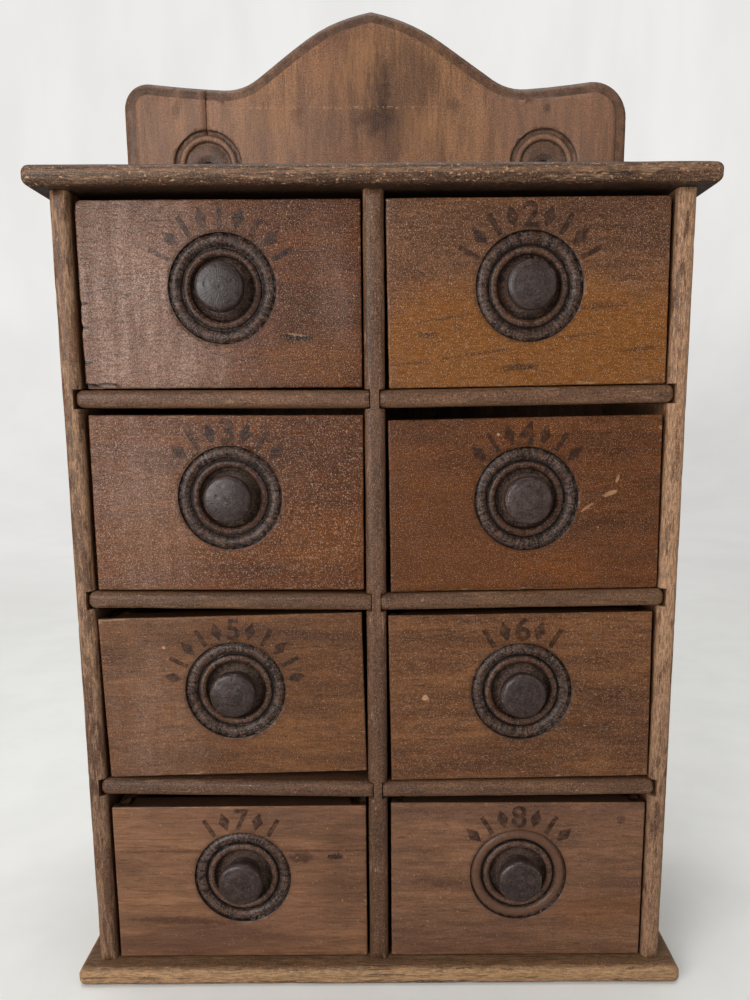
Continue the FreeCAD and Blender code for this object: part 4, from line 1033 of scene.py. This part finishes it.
# A number's greatest height, its gap to the rosette, the least room above and below it together,
# and how far the ink stands off the wood
NUMBER_HEIGHT, NUMBER_GAP, NUMBER_ROOM, INK_THICKNESS = 10.4, 0.9, 2.2, 0.04


def number_mesh(number, height, arc):
    """Flat mesh of a number, its middle at a distance above the rosette's centre."""
    curve = bpy.data.curves.new("number", "FONT")
    curve.body, curve.size, curve.offset = str(number), height * 1.38, 0.35
    curve.align_x, curve.align_y = "CENTER", "CENTER"
    text = bpy.data.objects.new("number", curve)
    bpy.context.scene.collection.objects.link(text)
    flat = bpy.data.meshes.new_from_object(text.evaluated_get(bpy.context.evaluated_depsgraph_get()))
    mesh = bmesh.new()
    mesh.from_mesh(flat)
    heights = [vert.co.y for vert in mesh.verts]
    middle, fit = (max(heights) + min(heights)) / 2, height / (max(heights) - min(heights))
    for vert in mesh.verts:
        vert.co = Vector((vert.co.x * fit, 0, (vert.co.y - middle) * fit + arc))
    bpy.data.objects.remove(text)
    return mesh


def add_marks(mesh, spread, height, arc):
    """Add the lozenges and bars that fan out to each side of a number."""
    for place in range(-spread, spread + 1):
        if place == 0:
            continue
        shape = LOZENGE if place % 2 else BAR
        turn = Matrix.Rotation(math.radians(place * MARK_TURN), 3, "Y")
        mesh.faces.new([mesh.verts.new(turn @ Vector((x * height / 2, 0, arc + z * height / 2 * 0.9)))
                        for x, z in shape])


class CHEST_OT_numerals(bpy.types.Operator):
    """Stencil a faded number between lozenges and bars above each rosette"""
    bl_idname = "chest.numerals"
    bl_label = "Stencilled numbers"
    bl_options = {"REGISTER", "UNDO"}

    def execute(self, context):
        for number in DRAWERS:
            front = bpy.data.objects[f"front_{number}"]
            surface = BVHTree.FromObject(front, bpy.context.evaluated_depsgraph_get())
            across, up = rosette_centre(number)
            top = min(surface.ray_cast(Vector(((across + side) * MM, -0.05, 1)), Vector((0, 0, -1)))[0].z
                      for side in (-8, 8)) / MM
            height = min(NUMBER_HEIGHT, top - up - ROSETTE_RIM - NUMBER_ROOM)
            arc = ROSETTE_RIM + NUMBER_GAP + height / 2
            mesh = number_mesh(number, height, arc)
            add_marks(mesh, STENCIL_SPREAD[number], height, arc)
            cut_grid(mesh, 1.0, (0, 2))
            for vert in mesh.verts:
                start = Vector(((vert.co.x + across) * MM, -0.1, (vert.co.z + up) * MM))
                hit = surface.ray_cast(start, Vector((0, 1, 0)))[0]
                if hit is None:
                    raise RuntimeError(f"number {number} runs off its front")
                vert.co = hit - Vector((0, INK_THICKNESS * MM, 0))
            bmesh.ops.recalc_face_normals(mesh, faces=mesh.faces)
            if sum(face.normal.y for face in mesh.faces) > 0:
                bmesh.ops.reverse_faces(mesh, faces=mesh.faces)
            stencil = new_piece(f"stencil_{number}", mesh, front_wood(f"stencil_{number}_ink", number, True))
            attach(stencil, f"drawer_{number}")
        return {"FINISHED"}


# Floor and backdrop, in millimetres: where the floor starts and ends to fade into the backdrop,
# the height that the backdrop brightens to, and where its dusk lies across and up
FADE_FROM, FADE_TO, BRIGHT_UP = 350, 1350, 600
DUSK_ACROSS, DUSK_UP = (-100, 650), (1000, 0)
# The same in metres: the floor's radius, the radius of the bend up to the backdrop, and its height
FLOOR_RADIUS, BEND_RADIUS, BACKDROP_TOP = 1.4, 0.9, 3.5
# The lamps: name, place and width in metres
LAMPS = (("window", (-0.8, -1.15, 0.52), 0.85), ("fill", (1.4, -1.2, 0.7), 1.2),
         ("top", (-0.1, 0.2, 1.8), 1.2))
LAMP_AIM = (0, 0, 0.2)
# How much of the room's light shows in gloss
ROOM_GLOSS = 0.35
# The camera: right of the middle, in front of the case's front edges, above the floor, its dip and
# roll in degrees, and its shift as shares of the frame's longer side
CAMERA_ACROSS, CAMERA_AWAY, CAMERA_UP = 5.2, 352.25, 254.3
CAMERA_DIP, CAMERA_ROLL, CAMERA_SHIFT = 9.69, -0.324, (-0.0134, 0.0547)


def pale_cloth(stage):
    """Matt floor cloth that turns, away from the chest, into a backdrop that glows by itself, with painted
    shade: dimmer low down and to the lower right, with soft painted folds.
    """
    graph = Graph("floor_cloth")
    reach = graph.vector("LENGTH", graph.point, (0, 0, 0))
    far = graph.span(reach, FADE_FROM, FADE_TO)
    weave = graph.span(graph.noise(60, detail=4), 0.3, 0.7, 0.96, 1.0)
    # Painted shade on the glowing backdrop: dimmer to the lower right, low down, and in soft folds.
    across, _, up = graph.apart()
    dusk = graph.times(graph.span(across, *DUSK_ACROSS), graph.span(up, *DUSK_UP))
    height = graph.span(up, 0, BRIGHT_UP, 0.93, 1.0)
    light = graph.minus(height, graph.times(dusk, 0.17))
    fold_shade = graph.noise(170, (1, 1, 3), 4, 3)
    light = graph.times(light, graph.span(fold_shade, 0.3, 0.7, 0.97, 1.03))
    glow = graph.add("ShaderNodeEmission")
    glow.inputs["Color"].default_value = tuple(stage.backdrop)
    graph.feed(glow.inputs["Strength"], light)
    cloth = graph.add("ShaderNodeBsdfDiffuse")
    graph.feed(cloth.inputs["Color"], graph.vary(tuple(stage.floor), weave, 0.02, 0.96, 1.0))
    blend = graph.add("ShaderNodeMixShader")
    graph.feed(blend.inputs[0], far)
    graph.feed(blend.inputs[1], cloth.outputs[0])
    graph.feed(blend.inputs[2], glow.outputs[0])
    graph.feed(graph.add("ShaderNodeOutputMaterial").inputs[0], blend.outputs[0])
    return graph.material


def spun(name, profile, material):
    """A sheet spun round the upright axis from a profile of radii and heights in metres."""
    mesh = bmesh.new()
    edge = [mesh.verts.new((radius, 0, height)) for radius, height in profile]
    spokes = [mesh.edges.new(pair) for pair in zip(edge, edge[1:])]
    bmesh.ops.spin(mesh, geom=edge + spokes, angle=2 * math.pi, steps=72, axis=(0, 0, 1),
                   cent=(0, 0, 0), use_merge=True)
    bmesh.ops.remove_doubles(mesh, verts=mesh.verts, dist=1e-5)
    piece = new_piece(name, mesh, material)
    piece.visible_glossy = False
    return piece


def room_light(strength):
    """Even white light from all round, weaker in gloss."""
    world = bpy.data.worlds.new("room")
    world.use_nodes = True
    tree = world.node_tree
    path = tree.nodes.new("ShaderNodeLightPath")
    dim = tree.nodes.new("ShaderNodeMapRange")
    dim.inputs["To Min"].default_value, dim.inputs["To Max"].default_value = strength, strength * ROOM_GLOSS
    tree.links.new(path.outputs["Is Glossy Ray"], dim.inputs["Value"])
    background = tree.nodes["Background"]
    background.inputs["Color"].default_value = (1, 1, 1, 1)
    tree.links.new(dim.outputs[0], background.inputs["Strength"])
    return world


def new_camera(lens):
    """The camera, a little above the chest's middle and looking slightly down at its front."""
    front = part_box("left_side")[0].y
    camera = bpy.data.objects.new("camera", bpy.data.cameras.new("camera"))
    camera.data.lens = lens
    camera.data.shift_x, camera.data.shift_y = CAMERA_SHIFT
    camera.location = (CAMERA_ACROSS * MM, front - CAMERA_AWAY * MM, CAMERA_UP * MM)
    pitch, roll = math.radians(90 - CAMERA_DIP), math.radians(CAMERA_ROLL)
    camera.rotation_euler = (Matrix.Rotation(pitch, 3, "X") @ Matrix.Rotation(roll, 3, "Z")).to_euler()
    camera.data.clip_start, camera.data.clip_end = 0.01, 20
    return camera


class CHEST_OT_stage(bpy.types.Operator):
    """Make the floor, the backdrop, the lights and the camera"""
    bl_idname = "chest.stage"
    bl_label = "Stage"
    bl_options = {"REGISTER", "UNDO"}

    def execute(self, context):
        scene, stage = context.scene, context.scene.chest_stage
        cloth = pale_cloth(stage)
        turns = [math.radians(turn) for turn in range(10, 91, 10)]
        bend = [(FLOOR_RADIUS + BEND_RADIUS * math.sin(turn), BEND_RADIUS * (1 - math.cos(turn)))
                for turn in turns]
        spun("floor", [(0, 0), (FLOOR_RADIUS, 0)], cloth)
        wall = [(FLOOR_RADIUS + BEND_RADIUS, BACKDROP_TOP)]
        backdrop = spun("backdrop", [(FLOOR_RADIUS, 0)] + bend + wall, cloth)
        backdrop.visible_shadow = backdrop.visible_diffuse = False
        powers = (stage.key_power, stage.fill_power, stage.top_power)
        for (name, place, size), power in zip(LAMPS, powers):
            lamp = bpy.data.lights.new(name, "AREA")
            lamp.size, lamp.energy = size, power
            light = bpy.data.objects.new(name, lamp)
            light.location = place
            aim = Vector(LAMP_AIM) - Vector(place)
            light.rotation_euler = aim.to_track_quat("-Z", "Y").to_euler()
            scene.collection.objects.link(light)
        scene.world = room_light(stage.room)
        scene.view_settings.view_transform = "Standard"
        scene.camera = new_camera(stage.lens)
        scene.collection.objects.link(scene.camera)
        return {"FINISHED"}


PIECES = (CHEST_OT_stage, CHEST_OT_uprights, CHEST_OT_shelves, CHEST_OT_flat_boards, CHEST_OT_back_board,
          CHEST_OT_fronts, CHEST_OT_knobs, CHEST_OT_boxes, CHEST_OT_nails, CHEST_OT_numerals)


class CHEST_PT_sidebar(bpy.types.Panel):
    """Settings and pieces of the chest"""
    bl_idname = "CHEST_PT_sidebar"
    bl_label = "Spice Chest"
    bl_space_type = "VIEW_3D"
    bl_region_type = "UI"
    bl_category = "Spice Chest"

    def draw(self, context):
        for group in (context.scene.chest_wear, context.scene.chest_colours, context.scene.chest_stage):
            box = self.layout.box()
            for key in group.bl_rna.properties.keys():
                if key not in ("rna_type", "name"):
                    box.prop(group, key)
        for piece in PIECES:
            self.layout.operator(piece.bl_idname)


CLASSES = (ChestWear, ChestColours, ChestStage) + PIECES + (CHEST_PT_sidebar,)


def register():
    for item in CLASSES:
        bpy.utils.register_class(item)
    bpy.types.Scene.chest_wear = bpy.props.PointerProperty(type=ChestWear)
    bpy.types.Scene.chest_colours = bpy.props.PointerProperty(type=ChestColours)
    bpy.types.Scene.chest_stage = bpy.props.PointerProperty(type=ChestStage)


def unregister():
    del bpy.types.Scene.chest_wear, bpy.types.Scene.chest_colours, bpy.types.Scene.chest_stage
    for item in reversed(CLASSES):
        bpy.utils.unregister_class(item)


def main():
    """Register the add-on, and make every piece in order."""
    register()
    for piece in PIECES:
        group, name = piece.bl_idname.split(".")
        getattr(getattr(bpy.ops, group), name)()


if __name__ == "__main__":
    main()
